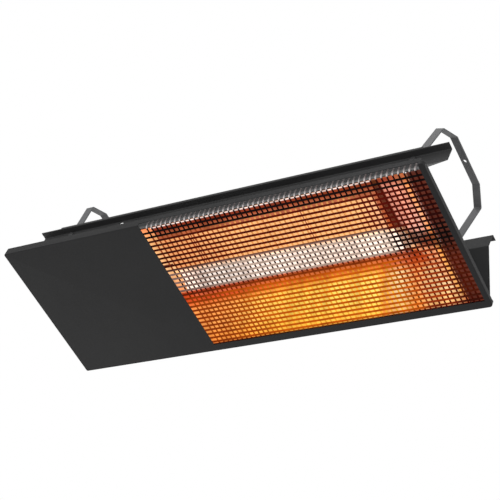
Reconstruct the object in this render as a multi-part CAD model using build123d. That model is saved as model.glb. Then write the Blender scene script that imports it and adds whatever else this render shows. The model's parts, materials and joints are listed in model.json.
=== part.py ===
from build123d import *
import math
import os

os.makedirs("parts", exist_ok=True)

# Overhead gas heater, millimetres. +X runs along the body towards the grille end, +Z is up.
# The model is laid out from the centre of its lower face and then moved so that the hole
# in the left hanger is the origin.

# Lower cover: a shallow pan with a plain panel at one end and the grille opening at the other
cover_length = 1090.0
cover_width = 396.0
sheet = 1.2
skirt_height = 22.0
end_skirt_height = 11.0
panel_corner = 4.0
grille_corner = 8.0
bend_radius = 2.0
panel_length = 392.0
end_rail = 12.0
front_rail = 6.5
rear_rail = 20.0

# Welded grille
mesh_pitch = 12.7
wire = 2.8
wire_lap = 8.0
tooth_height = 24.0
tooth_bend = 4.0
tooth_gap = 1.0

# Hood: two folded walls that lean in, with a lip and an outward flange
hood_inset = 3.0
hood_overhang = 3.0
foot_inset = 12.0
foot_flange = 8.0
wall_lean = 65.3
lip_drop = 25.3
flange_rise = 10.7
flange_width = 17.2
hem_height = 6.0
hem_setback = 60.0
end_taper = 3.0
grille_gap = 0.3
slot_offset = 308.0
slot_drop = 9.0
slot_diameter = 12.0

# Apron: a plain sheet that closes the hood between the end reflector and the cover's end
apron_height = 12.0

# Control compartment
end_cap_recess = 24.0
cap_drop = 13.3
cap_flange = 20.0
compartment_length = 218.0
lid_flange = 12.0
lid_drop = 3.8
rivet_diameter = 4.0
rivet_head = 7.0
rivet_head_height = 1.2
fit_gap = 0.2
rivet_fit = 0.05

# Burner
burner_start_gap = 46.2
burner_end_space = 204.8
burner_rise = 2.0
tile_count = 6
tile_joint = 0.5
tile_width = 102.0
tile_thickness = 13.0
tile_chamfer = 2.0
tile_lap = 4.5
end_lap = 13.0
gasket = 3.5
gasket_gap = 0.05
plenum_wall = 1.5
plenum_height = 54.0
plenum_flange = 11.0
plenum_corner = 6.0
diffuser_height = 30.0
diffuser_setback = 55.0
diffuser_end_gap = 6.0
diffuser_slots = 18
diffuser_slot_width = 6.0
frame_screws_per_side = 5
polished_sheet = 0.9
shoulder_inset = 4.1
shoulder_drop = 11.0
shoulder_end = 14.0
reflector_foot_gap = 0.5
reflector_gap = 0.4
tray_gap = 0.4
plate_gap = 0.6
end_reflector_inset = 48.0
left_reflector_lean = 4.0
bracket_width = 10.0
bracket_tab = 15.0

# Gas train
mix_tube_radius = 20.0
mix_tube_wall = 1.5
mix_mouth_radius = 29.0
mix_throat_radius = 15.0
mix_shoulder_radius = 19.0
mix_shoulder_at = 22.0
mix_throat_at = 52.0
mix_spread_at = 110.0
mouth_inset = 78.0
tube_rise = 28.0
collar_rim = 3.0
collar_length = 3.0
jet_gap = 8.0
jet_length = 16.0
jet_bore = 1.8
jet_flats = 14.0
jet_nose = 5.0
jet_nose_radius = 4.5
jet_tip_radius = 3.0
jet_entry_radius = 2.8
pipe_radius = 6.35
pipe_wall = 1.2
pipe_bend = 20.0
pipe_inset = 34.0
pipe_clearance = 1.0
valve_length = 92.0
valve_width = 58.0
valve_height = 50.0
valve_corner = 5.0
valve_inset = 63.0
valve_base = 20.0
valve_bracket_share = 0.7
valve_bracket_foot = 14.0
valve_boss_radius = 15.0
inlet_boss_length = 10.0
outlet_boss_radius = 13.0
outlet_rise = 8.0
solenoid_radius = 9.0
solenoid_rise = 22.0
knob_radius = 17.0
knob_height = 14.0
knob_inset = 2.0
knob_seat = 0.5
knob_grip = 8.0
knob_stem_radius = 4.0
knob_stem_length = 7.0
running_gap = 0.06
nipple_radius = 10.65
nipple_bore = 7.9
coupling_radius = 14.5
coupling_length = 24.0
inlet_thread_radius = 9.3
inlet_thread_depth = 12.0

# Electrical parts
module_length = 110.0
module_width = 66.0
module_height = 32.0
module_inset = 48.0
module_y = 98.0
module_corner = 4.0
module_foot_inset = 12.0
module_foot_radius = 4.0
socket_start = 20.0
socket_length = 60.0
socket_width = 14.0
socket_height = 8.0
transformer_size = 46.0
transformer_inset = 68.0
transformer_y = -92.0
transformer_foot = 12.0
transformer_foot_height = 1.6
coil_inset = 10.0
coil_bulge = 9.0
coil_corner = 6.0
terminal_inset = 168.0
terminal_length = 20.0
terminal_height = 16.0
terminal_count = 5
terminal_pitch = 12.0
terminal_hole = 2.5
terminal_depth = 6.0
standoff = 5.0
gland_radius = 9.0
gland_thread_radius = 7.0
gland_bore = 3.5
gland_y = 96.0
gland_height = 62.0
gland_hex = 8.0
gland_dome = 8.0
gland_tip_radius = 5.5
gland_tail = 10.0
gland_nut = 4.0
electrode_spread = 36.0
electrode_drop = 19.0
insulator_radius = 4.5
insulator_length = 46.0
insulator_outside = 27.6
insulator_rib = 2.5
insulator_rib_length = 4.0
rib_setback = 6.0
rod_radius = 1.5
rod_tail = 8.0
rod_reach = 34.0

# Hangers
hanger_spacing = 915.2
pivot_height = 137.3
strap_width = 19.2
strap_thickness = 3.0
strap_bend = 6.0
strap_foot = 12.0
hanger_taper = 2.8
shoulder_rise = 117.0
hanger_top = 67.4
top_rise = 145.6
hanger_hole = 9.0
right_hanger_lean = 18.5
bolt_diameter = 8.0
bolt_flats = 13.0
bolt_head = 5.3
nut_height = 6.5
bolt_end = 1.5
washer_radius = 8.5
washer_thickness = 1.8
side_gap = 0.1
screw_radius = 2.0
screw_head_radius = 3.8
screw_head = 2.4
end_screw_inset = 11.5

# Derived places, measured from the centre of the lower face
half_length = cover_length / 2
half_width = cover_width / 2
foot_half_width = half_width - foot_inset
lip_half_width = foot_half_width - wall_lean
flange_half_width = lip_half_width + flange_width
lip_low = pivot_height - lip_drop
flange_underside = pivot_height + flange_rise
opening_start = panel_length - half_length
opening_end = half_length - end_rail
opening_front = front_rail - half_width
opening_rear = half_width - rear_rail
opening_centre = (opening_start + opening_end) / 2
hood_start = hood_inset - half_length
hood_end = half_length + hood_overhang
hood_centre = (hood_start + hood_end) / 2
grille_top = sheet + 2 * wire
wall_foot = grille_top + grille_gap
wall_slope = wall_lean / (lip_low - 2 * sheet)
slant = math.sqrt(1 + wall_slope ** 2)
lip_inside = lip_half_width - sheet
inner_bend = lip_low - sheet * (slant - 1) / wall_slope
left_pivot = hood_centre - hanger_spacing / 2
right_pivot = hood_centre + hanger_spacing / 2
cap_x = hood_start + end_cap_recess
cap_top = pivot_height - cap_drop
lid_height = pivot_height - washer_radius - lid_drop - lid_flange
wall_end = half_length - 2 * sheet - fit_gap
leg_outside = lip_inside - washer_thickness - side_gap
hanger_shoulder = leg_outside - hanger_taper
partition_x = cap_x + compartment_length
tile_face = flange_underside + burner_rise
tiles_start = partition_x + burner_start_gap
tiles_end = hood_end - burner_end_space
tile_pitch = (tiles_end - tiles_start) / tile_count
burner_centre = (tiles_start + tiles_end) / 2
shoulder_edge = lip_inside - shoulder_inset
shoulder_low = tile_face - shoulder_drop
reflector_foot = wall_foot + reflector_foot_gap
end_reflector_foot = half_length - end_reflector_inset
mix_mouth = cap_x + mouth_inset
tube_axis_height = tile_face + tube_rise
pipe_x = cap_x + pipe_inset
valve_x = cap_x + valve_inset
valve_top = valve_base + sheet + valve_height
inlet_height = valve_base + sheet + valve_height / 2
knob_x = valve_x + valve_length / 2 - knob_radius - knob_inset
electrode_height = tile_face - electrode_drop
plenum_half = tile_width / 2 + gasket + plenum_wall
plenum_start = tiles_start - gasket - plenum_wall
plenum_end = tiles_end + gasket + plenum_wall
tray_start = plenum_start - plenum_flange - shoulder_end
tray_end = plenum_end + plenum_flange + shoulder_end
origin = Vector(left_pivot, 0, pivot_height + top_rise - strap_thickness / 2)
made = {}


def keep(name, *shapes):
    """Store a piece under its node name, as one solid or a group of separate solids."""
    solids = []
    for shape in shapes:
        solids.extend(shape.solids())
    made[name] = solids


def block(x0, x1, y0, y1, z0, z1):
    """A box given by its six limits."""
    centre = Pos((x0 + x1) / 2, (y0 + y1) / 2, (z0 + z1) / 2)
    return centre * Box(x1 - x0, y1 - y0, z1 - z0)


def rod_x(x0, x1, y, z, radius):
    """A round bar along X."""
    return Pos((x0 + x1) / 2, y, z) * Rot(0, 90, 0) * Cylinder(radius, x1 - x0)


def rod_y(x, y0, y1, z, radius):
    """A round bar along Y."""
    return Pos(x, (y0 + y1) / 2, z) * Rot(90, 0, 0) * Cylinder(radius, y1 - y0)


def rod_z(x, y, z0, z1, radius):
    """A round bar along Z."""
    return Pos(x, y, (z0 + z1) / 2) * Cylinder(radius, z1 - z0)


def hex_y(x, y0, y1, z, flats):
    """A hexagonal bar along Y."""
    face = Plane.XZ * RegularPolygon(flats / 2, 6, major_radius=False)
    return Pos(x, y1, z) * extrude(face, amount=y1 - y0)


def hex_x(x0, x1, y, z, flats):
    """A hexagonal bar along X."""
    face = Plane.YZ * RegularPolygon(flats / 2, 6, major_radius=False)
    return Pos(x0, y, z) * extrude(face, amount=x1 - x0)


def folded_sheet(points, thickness, x0, x1):
    """A sheet folded along the (y, z) points, its thickness laid to the left of the path."""
    path = FilletPolyline(*points, radius=bend_radius)
    section = make_face(offset(path, amount=thickness, side=Side.LEFT))
    return Pos(x0, 0, 0) * extrude(Plane.YZ * section, amount=x1 - x0)


def wall_outside(z):
    """Half width over the outer faces of the hood walls, below the lips."""
    return lip_half_width + wall_slope * (lip_low - z)


def wall_inside(z):
    """Half width between the inner faces of the hood walls at a height."""
    return max(lip_inside, wall_outside(z) - sheet * slant)


def hood_section(low, top, gap):
    """The outline that fits between the hood walls, with a gap all round."""
    points = [
        (-wall_inside(low) + gap, low),
        (wall_inside(low) - gap, low),
        (lip_inside - gap, inner_bend),
        (lip_inside - gap, top),
        (-lip_inside + gap, top),
        (-lip_inside + gap, inner_bend),
    ]
    return Plane.YZ * make_face(Polyline(*points, close=True))


def side_view(points):
    """A solid as wide as the cover, with the outline given by (x, z) points."""
    face = Plane.XZ * make_face(Polyline(*points, close=True))
    return Pos(0, half_width, 0) * extrude(face, amount=cover_width)


def front(shape):
    """The front copy of a rear piece."""
    return mirror(shape, about=Plane.XZ)


# Lower cover
def pan_block(inset):
    """The pan's outer form, or its hollow when it is inset by the sheet."""
    outline = Rectangle(cover_length - 2 * inset, cover_width - 2 * inset)
    corners = outline.vertices().sort_by(Axis.X)
    outline = fillet(corners[:2], panel_corner - inset)
    corners = outline.vertices().sort_by(Axis.X)
    outline = fillet(corners[-2:], grille_corner - inset)
    block_shape = extrude(outline, amount=skirt_height)
    return fillet(block_shape.faces().sort_by(Axis.Z)[0].edges(), bend_radius - inset)


def lower_cover():
    pan = pan_block(0) - Pos(0, 0, sheet) * pan_block(sheet)
    low_end_start = half_length - grille_corner
    low_end = block(low_end_start, half_length + 1, -half_width, half_width,
                    end_skirt_height, skirt_height + 1)
    opening = block(opening_start, opening_end, opening_front, opening_rear, -1, sheet + 1)
    return pan - low_end - opening


# Grille
def round_count(length):
    return int(length / mesh_pitch + 0.01)


def tooth_line():
    """Distance from the middle to the turned-up wire ends, which stand outside the walls."""
    return wall_outside(wall_foot) + tooth_gap + wire / 2


def long_wires():
    count = round_count(2 * tooth_line()) - 1
    start = opening_start - wire_lap
    end = opening_end + wire_lap
    height = sheet + wire / 2
    first = -(count - 1) * mesh_pitch / 2
    wires = []
    for row in range(count):
        face = Plane.YZ * RegularPolygon(wire / 2, 6, major_radius=False)
        bar = Pos(start, first + row * mesh_pitch, height) * extrude(face, amount=end - start)
        wires.append(bar)
    return wires


def short_wires():
    count = round_count(opening_end - opening_start) - 1
    reach = tooth_line()
    low = sheet + 1.5 * wire
    high = low + tooth_height
    cut = tooth_bend * math.tan(math.radians(22.5))
    path = Polyline(
        (0, -reach, high),
        (0, -reach, low + cut),
        (0, -reach + cut, low),
        (0, reach - cut, low),
        (0, reach, low + cut),
        (0, reach, high),
    )
    face = Plane((0, -reach, high), z_dir=(0, 0, -1)) * RegularPolygon(wire / 2, 6, False)
    bent = sweep(face, path, transition=Transition.RIGHT)
    first = opening_centre - (count - 1) * mesh_pitch / 2
    wires = []
    for column in range(count):
        wires.append(Pos(first + column * mesh_pitch, 0, 0) * bent)
    return wires


# Hood
def past_end():
    """What the walls' ends are trimmed by, so that they clear the cover's end skirt."""
    past = hood_end + 1
    skirt_top = end_skirt_height + grille_gap
    return side_view([
        (past, flange_underside),
        (hood_end, flange_underside),
        (hood_end - end_taper, lip_low),
        (wall_end, skirt_top),
        (wall_end, 0),
        (past, 0),
    ])


def rear_wall():
    points = [
        (foot_half_width + foot_flange, 2 * sheet),
        (foot_half_width, 2 * sheet),
        (lip_half_width, lip_low),
        (lip_half_width, flange_underside),
        (flange_half_width, flange_underside),
        (flange_half_width, flange_underside + hem_height),
    ]
    wall = folded_sheet(points, sheet, hood_start, hood_end)
    grille_start = opening_start - wire_lap - wire
    over_grille = block(grille_start, hood_end + 1, 0, half_width, 0, wall_foot)
    wall = wall - over_grille - past_end()
    hem_low = flange_underside + bend_radius
    hem_top = flange_underside + hem_height + 1
    for start in (hood_start - 1, hood_end - hem_setback):
        wall = wall - block(start, start + hem_setback + 1, lip_half_width,
                            flange_half_width + 1, hem_low, hem_top)
    for pivot in (left_pivot, right_pivot):
        wall = wall - rod_y(pivot, lip_inside - 1, lip_half_width + 1, pivot_height,
                            bolt_diameter / 2 + fit_gap)
    for place in burner_bracket_places():
        wall = wall - rivet_hole(place, bracket_rivet_height())
    for place in lid_rivet_places():
        wall = wall - rivet_hole(place, lid_height + lid_flange / 2)
    return wall


def front_wall():
    wall = front(rear_wall())
    slot = rod_y(hood_centre - slot_offset, -lip_half_width - 1, -lip_inside + 1,
                 flange_underside - slot_drop, slot_diameter / 2)
    return wall - slot


def rivet_hole(x, z):
    """A hole through the rear lip."""
    return rod_y(x, lip_inside - 4, lip_half_width + 1, z, rivet_diameter / 2 + rivet_fit)


def rivet(x, z):
    """A rivet through the rear lip and the sheet behind it."""
    inside = lip_inside - fit_gap - sheet
    body = rod_y(x, inside, lip_half_width, z, rivet_diameter / 2)
    outer = rod_y(x, lip_half_width, lip_half_width + rivet_head_height, z, rivet_head / 2)
    inner = rod_y(x, inside - rivet_head_height, inside, z, rivet_diameter * 0.8)
    return body + outer + inner


def burner_bracket_places():
    left = plenum_start - plenum_flange + bracket_width / 2
    right = plenum_end + plenum_flange - bracket_width / 2
    return (left, right)


def bracket_rivet_height():
    return tile_face - bracket_tab / 2


def lid_rivet_places():
    span = partition_x - cap_x
    return (cap_x + span * 0.12, cap_x + span * 0.62, cap_x + span * 0.92)


def end_cap():
    low = 2 * sheet
    plate = Pos(cap_x, 0, 0) * extrude(hood_section(low, cap_top, fit_gap), amount=sheet)
    width = wall_inside(low) - 4 * sheet
    plate = plate + block(cap_x, cap_x + cap_flange, -width, width, sheet, 2 * sheet)
    plate = plate + block(cap_x, cap_x + sheet, -width, width, sheet, 3 * sheet)
    past = cap_x + 2 * sheet
    plate = plate - rod_x(cap_x - 1, past, 0, inlet_height, nipple_radius + fit_gap)
    plate = plate - rod_x(cap_x - 1, past, gland_y, gland_height,
                          gland_thread_radius + fit_gap)
    return plate


def partition():
    outline = hood_section(2 * sheet, lid_height - fit_gap, 2 * fit_gap)
    width = wall_inside(2 * sheet) - 4 * sheet
    plate = Pos(partition_x, 0, 0) * extrude(outline, amount=sheet)
    return plate + block(partition_x, partition_x + sheet, -width, width, sheet, 3 * sheet)


def control_lid():
    inner = lip_inside - fit_gap
    start = cap_x + sheet + fit_gap
    end = partition_x + 3 * sheet
    points = [
        (inner, lid_height + lid_flange),
        (inner, lid_height),
        (-inner, lid_height),
        (-inner, lid_height + lid_flange),
    ]
    path = FilletPolyline(*points, radius=bend_radius)
    section = make_face(offset(path, amount=sheet, side=Side.RIGHT))
    lid = Pos(start, 0, 0) * extrude(Plane.YZ * section, amount=end - start)
    lid = lid - rod_z(pipe_x, 0, lid_height - 2, lid_height + 4, pipe_radius + pipe_clearance)
    for place in lid_rivet_places():
        hole = rivet_hole(place, lid_height + lid_flange / 2)
        lid = lid - hole - front(hole)
    return lid


def end_gusset():
    outer = half_width - grille_corner
    plate = block(wall_end, wall_end + sheet, foot_half_width - foot_flange, outer,
                  bend_radius + fit_gap, end_skirt_height)
    y = half_width - end_screw_inset
    return plate - rod_x(wall_end - 1, wall_end + 2 * sheet, y, end_skirt_height / 2,
                         screw_radius + rivet_fit)


def end_screw():
    y = half_width - end_screw_inset
    z = end_skirt_height / 2
    shank = rod_x(wall_end, half_length, y, z, screw_radius)
    head = rod_x(half_length, half_length + screw_head, y, z, screw_head_radius)
    return shank + head


def end_apron():
    """The sheet between the end reflector's foot and the cover's end, with its end turned up."""
    start = end_reflector_foot + plate_gap + polished_sheet + fit_gap
    end = wall_end - fit_gap
    low = wall_foot + grille_gap
    high = low + apron_height
    flat = wall_inside(low + sheet) - fit_gap
    edge = wall_inside(high) - fit_gap
    plate = block(start, end, -flat, flat, low, low + sheet)
    return plate + block(end - sheet, end, -edge, edge, low, high)


# Burner
def tile(index):
    start = tiles_start + index * tile_pitch + tile_joint / 2
    body = block(start, start + tile_pitch - tile_joint, -tile_width / 2, tile_width / 2,
                 tile_face, tile_face + tile_thickness)
    return chamfer(body.edges().filter_by(Axis.Z), tile_chamfer)


def tile_gasket():
    outer_y = tile_width / 2 + gasket - gasket_gap
    inner_y = tile_width / 2 + gasket_gap
    top = tile_face + tile_thickness
    length = tiles_end - tiles_start + 2 * (gasket - gasket_gap)
    outline = RectangleRounded(length, 2 * outer_y, plenum_corner - plenum_wall)
    ring = Pos(burner_centre, 0, tile_face) * extrude(outline, amount=tile_thickness)
    return ring - block(tiles_start, tiles_end, -inner_y, inner_y, tile_face - 1, top + 1)


def plenum():
    length = plenum_end - plenum_start
    top = tile_face + plenum_height
    centre = Pos(burner_centre, 0, tile_face)
    outline = RectangleRounded(length, 2 * plenum_half, plenum_corner)
    body = extrude(outline, amount=plenum_height)
    body = fillet(body.faces().sort_by(Axis.Z)[-1].edges(), plenum_corner - 1)
    flange = Rectangle(length + 2 * plenum_flange, 2 * (plenum_half + plenum_flange))
    body = body + extrude(flange, amount=plenum_wall)
    inner = RectangleRounded(length - 2 * plenum_wall, 2 * (plenum_half - plenum_wall),
                             plenum_corner - plenum_wall)
    hollow = extrude(inner, amount=plenum_height - plenum_wall)
    body = centre * (body - hollow)
    body = body - rod_x(plenum_start - 1, plenum_start + plenum_corner, 0, tube_axis_height,
                        mix_tube_radius + fit_gap)
    for place in frame_screw_places():
        body = body - frame_screw_hole(place)
    return body


def frame_screw_hole(place):
    return rod_z(place[0], place[1], tile_face - 3 * sheet, tile_face + 3 * sheet,
                 screw_radius + rivet_fit)


def frame_screw_places():
    span = plenum_end - plenum_start
    places = []
    for index in range(frame_screws_per_side):
        x = plenum_start + span * (index + 0.5) / frame_screws_per_side
        for side in (-1, 1):
            places.append((x, side * (plenum_half + plenum_flange / 2)))
    return places


def frame_screw(place):
    seat = tile_face + plenum_wall
    shank = rod_z(place[0], place[1], tile_face - sheet, seat, screw_radius)
    head = rod_z(place[0], place[1], seat, seat + screw_head, screw_head_radius)
    return shank + head


def diffuser():
    height = tile_face + diffuser_height
    inner = plenum_half - plenum_wall - fit_gap
    start = plenum_start + plenum_wall + diffuser_setback
    end = plenum_end - plenum_wall - diffuser_end_gap
    plate = block(start, end, -inner, inner, height, height + sheet)
    for x in (start, end - sheet):
        plate = plate + block(x, x + sheet, -inner, inner, tile_face + tile_thickness,
                              height + sheet)
    pitch = (end - start) / (diffuser_slots + 1)
    for index in range(diffuser_slots):
        x = start + (index + 1) * pitch
        plate = plate - block(x - diffuser_slot_width / 2, x + diffuser_slot_width / 2,
                              -inner * 0.7, inner * 0.7, height - 1, height + sheet + 1)
    return plate


def retaining_frame():
    """Polished tray under the tiles, with shoulders that slope down to the side reflectors."""
    upper_y = plenum_half + plenum_flange
    upper = rectangle_face(plenum_start - plenum_flange, plenum_end + plenum_flange,
                           upper_y, tile_face)
    lower = rectangle_face(tray_start, tray_end, shoulder_edge, shoulder_low)
    body = loft([lower, upper])
    body = body - Pos(0, 0, -sheet) * body
    opening = block(tiles_start + end_lap, tiles_end - end_lap,
                    -tile_width / 2 + tile_lap, tile_width / 2 - tile_lap,
                    tile_face - 5, tile_face + 5)
    body = body - opening
    for place in frame_screw_places():
        body = body - frame_screw_hole(place)
    return body


def rectangle_face(x0, x1, half, z):
    return Pos((x0 + x1) / 2, 0, z) * Rectangle(x1 - x0, 2 * half)


def side_reflector():
    """The rear side reflector, cut to the side view between the two end reflectors."""
    top = shoulder_low - tray_gap
    inner_top = shoulder_edge + polished_sheet + tray_gap
    outer_bend = lip_inside - reflector_gap
    outer_foot = wall_inside(reflector_foot) - reflector_gap
    points = [(outer_foot, reflector_foot), (outer_bend, inner_bend), (inner_top, top)]
    start = tray_start - left_reflector_lean
    end = end_reflector_foot
    body = folded_sheet(points, polished_sheet, start, end)
    return body & side_view([
        (start, 0),
        (end, 0),
        (end, reflector_foot),
        (tray_end, shoulder_low),
        (tray_start, shoulder_low),
        (start, reflector_foot),
    ])


def slanted_plate(x_low, x_high, outward):
    """An end reflector between the two side reflectors, as a plate that leans outward."""
    low = reflector_foot
    high = shoulder_low - tray_gap
    shift = outward * polished_sheet
    slab = side_view([(x_low, low), (x_high, high), (x_high + shift, high),
                      (x_low + shift, low)])
    margin = reflector_gap + polished_sheet * slant + plate_gap
    section = [
        (-wall_inside(low) + margin, low - 1),
        (wall_inside(low) - margin, low - 1),
        (lip_inside - margin, inner_bend),
        (shoulder_edge - tray_gap, high),
        (-shoulder_edge + tray_gap, high),
        (-lip_inside + margin, inner_bend),
    ]
    zone = extrude(Plane.YZ * make_face(Polyline(*section, close=True)), amount=cover_length)
    return slab & (Pos(-half_length, 0, 0) * zone)


def right_end_reflector():
    return slanted_plate(end_reflector_foot + plate_gap, tray_end + plate_gap, 1)


def left_end_reflector():
    x_high = tray_start - plate_gap
    plate = slanted_plate(x_high - left_reflector_lean, x_high, -1)
    for side in (-1, 1):
        hole = rod_x(x_high - cap_flange, tray_start, side * electrode_spread / 2,
                     electrode_height, insulator_radius + fit_gap)
        plate = plate - hole
    return plate


def burner_bracket(index):
    """A cross bar that hangs the plenum between the two lips."""
    place = burner_bracket_places()[index]
    inner = lip_inside - fit_gap
    x0 = place - bracket_width / 2
    x1 = place + bracket_width / 2
    top = tile_face + plenum_wall + sheet
    points = [
        (-inner, tile_face - bracket_tab),
        (-inner, top),
        (inner, top),
        (inner, tile_face - bracket_tab),
    ]
    path = FilletPolyline(*points, radius=bend_radius)
    section = make_face(offset(path, amount=sheet, side=Side.RIGHT))
    bar = Pos(x0, 0, 0) * extrude(Plane.YZ * section, amount=x1 - x0)
    hole = rivet_hole(place, bracket_rivet_height())
    return bar - hole - front(hole)


# Gas train
def tube_half_section(wall):
    """Half of the lengthwise section of the mixing tube, or of its bore inside a wall."""
    length = plenum_start + plenum_wall - mix_mouth
    mouth = (0, mix_mouth_radius - wall)
    end = (length, mix_tube_radius - wall)
    curve = Spline(
        mouth,
        (mix_shoulder_at, mix_shoulder_radius - wall),
        (mix_throat_at, mix_throat_radius - wall),
        (mix_spread_at, mix_tube_radius - wall),
        tangents=((0.3, -1), (1, 0)),
    )
    rest = Polyline(curve @ 1, end, (length, 0), (0, 0), mouth)
    return make_face([curve, rest])


def mixing_tube():
    """A venturi: bell mouth, throat and a straight run into the plenum."""
    tube = revolve(tube_half_section(0), axis=Axis.X)
    tube = tube - revolve(tube_half_section(mix_tube_wall), axis=Axis.X)
    collar_end = plenum_start - mix_mouth
    collar = rod_x(collar_end - collar_length, collar_end, 0, 0, mix_tube_radius + collar_rim)
    middle = mix_tube_radius - mix_tube_wall / 2
    collar = collar - rod_x(collar_end - 2 * collar_length, collar_end + 1, 0, 0, middle)
    return Pos(mix_mouth, 0, tube_axis_height) * (tube + collar)


def gas_jet():
    end = mix_mouth + jet_gap
    start = end - jet_length
    body = hex_x(start, end - jet_nose, 0, tube_axis_height, jet_flats)
    cone = Rot(0, 90, 0) * Cone(jet_nose_radius, jet_tip_radius, jet_nose)
    nose = Pos(end - jet_nose / 2, 0, tube_axis_height) * cone
    bore = rod_x(start - 1, end + 1, 0, tube_axis_height, jet_bore / 2)
    entry = rod_x(start - 1, end - jet_nose - 1, 0, tube_axis_height, jet_entry_radius)
    return body + nose - bore - entry


def manifold_pipe():
    jet_end = mix_mouth + jet_gap - jet_length
    points = [
        (pipe_x, 0, valve_top + outlet_rise),
        (pipe_x, 0, tube_axis_height),
        (jet_end, 0, tube_axis_height),
    ]
    path = FilletPolyline(*points, radius=pipe_bend)
    section = Plane(path @ 0, z_dir=path % 0)
    solid = sweep(section * Circle(pipe_radius), path)
    core = sweep(section * Circle(pipe_radius - pipe_wall), path)
    return solid - core


def gas_valve():
    x0 = valve_x - valve_length / 2
    x1 = valve_x + valve_length / 2
    body = block(x0, x1, -valve_width / 2, valve_width / 2, valve_base + sheet, valve_top)
    body = fillet(body.edges().filter_by(Axis.Z), valve_corner)
    inlet = rod_x(x0 - inlet_boss_length, x0 + 1, 0, inlet_height, valve_boss_radius)
    outlet_top = valve_top + outlet_rise
    outlet = rod_z(pipe_x, 0, valve_top - 1, outlet_top, outlet_boss_radius)
    body = body + inlet + outlet
    body = body - rod_x(x0 - inlet_boss_length - 1, x0, 0, inlet_height, nipple_radius)
    body = body - rod_z(pipe_x, 0, valve_top - outlet_rise, outlet_top + 1,
                        pipe_radius - pipe_wall)
    coil = rod_z(valve_x, 0, valve_top - 1, valve_top + solenoid_rise, solenoid_radius)
    stem_hole = rod_z(knob_x, 0, valve_top - knob_stem_length - 1, valve_top + 1,
                      knob_stem_radius + running_gap)
    return body + coil - stem_hole


def valve_knob():
    base = valve_top + knob_seat
    skirt = base + knob_height * 0.4
    body = rod_z(knob_x, 0, base, skirt, knob_radius)
    reach = knob_radius - knob_inset
    grip = block(knob_x - knob_grip / 2, knob_x + knob_grip / 2, -reach, reach, skirt,
                 base + knob_height)
    grip = chamfer(grip.faces().sort_by(Axis.Z)[-1].edges(), knob_grip / 5)
    stem = rod_z(knob_x, 0, valve_top - knob_stem_length, base, knob_stem_radius)
    return body + grip + stem


def valve_bracket():
    half = valve_width / 2 + valve_bracket_foot
    points = [
        (half, 2 * sheet),
        (valve_width / 2, 2 * sheet),
        (valve_width / 2, valve_base + sheet),
        (-valve_width / 2, valve_base + sheet),
        (-valve_width / 2, 2 * sheet),
        (-half, 2 * sheet),
    ]
    length = valve_length * valve_bracket_share
    return folded_sheet(points, sheet, valve_x - length / 2, valve_x + length / 2)


def inlet_nipple():
    start = cap_x - coupling_length + inlet_thread_depth
    end = valve_x - valve_length / 2
    tube = rod_x(start, end, 0, inlet_height, nipple_radius)
    return tube - rod_x(start - 1, end + 1, 0, inlet_height, nipple_bore)


def inlet_coupling():
    start = cap_x - coupling_length
    end = cap_x - fit_gap
    middle = start + inlet_thread_depth
    body = rod_x(start, end, 0, inlet_height, coupling_radius)
    thread = rod_x(start - 1, middle, 0, inlet_height, inlet_thread_radius)
    socket = rod_x(middle, end + 1, 0, inlet_height, nipple_radius)
    return body - thread - socket


# Electrical parts
def ignition_module():
    x0 = cap_x + module_inset
    low = sheet + standoff
    top = low + module_height
    body = block(x0, x0 + module_length, module_y - module_width / 2,
                 module_y + module_width / 2, low, top)
    body = fillet(body.edges().filter_by(Axis.Z), module_corner)
    reach = module_width / 2 - module_foot_inset
    for x in (x0 + module_foot_inset, x0 + module_length - module_foot_inset):
        for y in (module_y - reach, module_y + reach):
            body = body + rod_z(x, y, sheet, low + 1, module_foot_radius)
    socket_x = x0 + socket_start
    socket = block(socket_x, socket_x + socket_length, module_y - socket_width / 2,
                   module_y + socket_width / 2, top - 1, top + socket_height)
    return body + socket


def transformer():
    size = transformer_size
    x0 = cap_x + transformer_inset
    half = size / 2
    foot = block(x0 - transformer_foot, x0 + size + transformer_foot, transformer_y - half,
                 transformer_y + half, sheet, sheet + transformer_foot_height)
    core = block(x0, x0 + size, transformer_y - half, transformer_y + half, sheet, sheet + size)
    reach = half + coil_bulge
    coil = block(x0 + coil_inset, x0 + size - coil_inset, transformer_y - reach,
                 transformer_y + reach, sheet + coil_inset, sheet + size - coil_inset)
    coil = fillet(coil.edges().filter_by(Axis.Z), coil_corner)
    return foot + core + coil


def terminal_block():
    x0 = cap_x + terminal_inset
    half = terminal_count * terminal_pitch / 2
    top = sheet + terminal_height
    body = block(x0, x0 + terminal_length, transformer_y - half, transformer_y + half,
                 sheet, top)
    for index in range(terminal_count):
        y = transformer_y - half + (index + 0.5) * terminal_pitch
        body = body - rod_z(x0 + terminal_length / 2, y, top - terminal_depth, top + 1,
                            terminal_hole)
    return body


def cable_gland():
    collar = hex_x(cap_x - gland_hex, cap_x, gland_y, gland_height, 2 * gland_radius)
    cone = Rot(0, 90, 0) * Cone(gland_tip_radius, gland_radius - 1, gland_dome)
    dome = Pos(cap_x - gland_hex - gland_dome / 2, gland_y, gland_height) * cone
    tail = rod_x(cap_x, cap_x + gland_tail, gland_y, gland_height, gland_thread_radius)
    nut = hex_x(cap_x + sheet, cap_x + sheet + gland_nut, gland_y, gland_height,
                2 * gland_radius)
    bore = rod_x(cap_x - gland_hex - gland_dome - 1, cap_x + gland_tail + 1, gland_y,
                 gland_height, gland_bore)
    return collar + dome + tail + nut - bore


def insulator(side):
    x0 = tray_start - insulator_outside
    x1 = x0 + insulator_length
    y = side * electrode_spread / 2
    body = rod_x(x0, x1, y, electrode_height, insulator_radius)
    rib_end = tray_start - rib_setback
    rib = rod_x(rib_end - insulator_rib_length, rib_end, y, electrode_height,
                insulator_radius + insulator_rib)
    bore = rod_x(x0 - 1, x1 + 1, y, electrode_height, rod_radius + rivet_fit)
    return body + rib - bore


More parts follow.
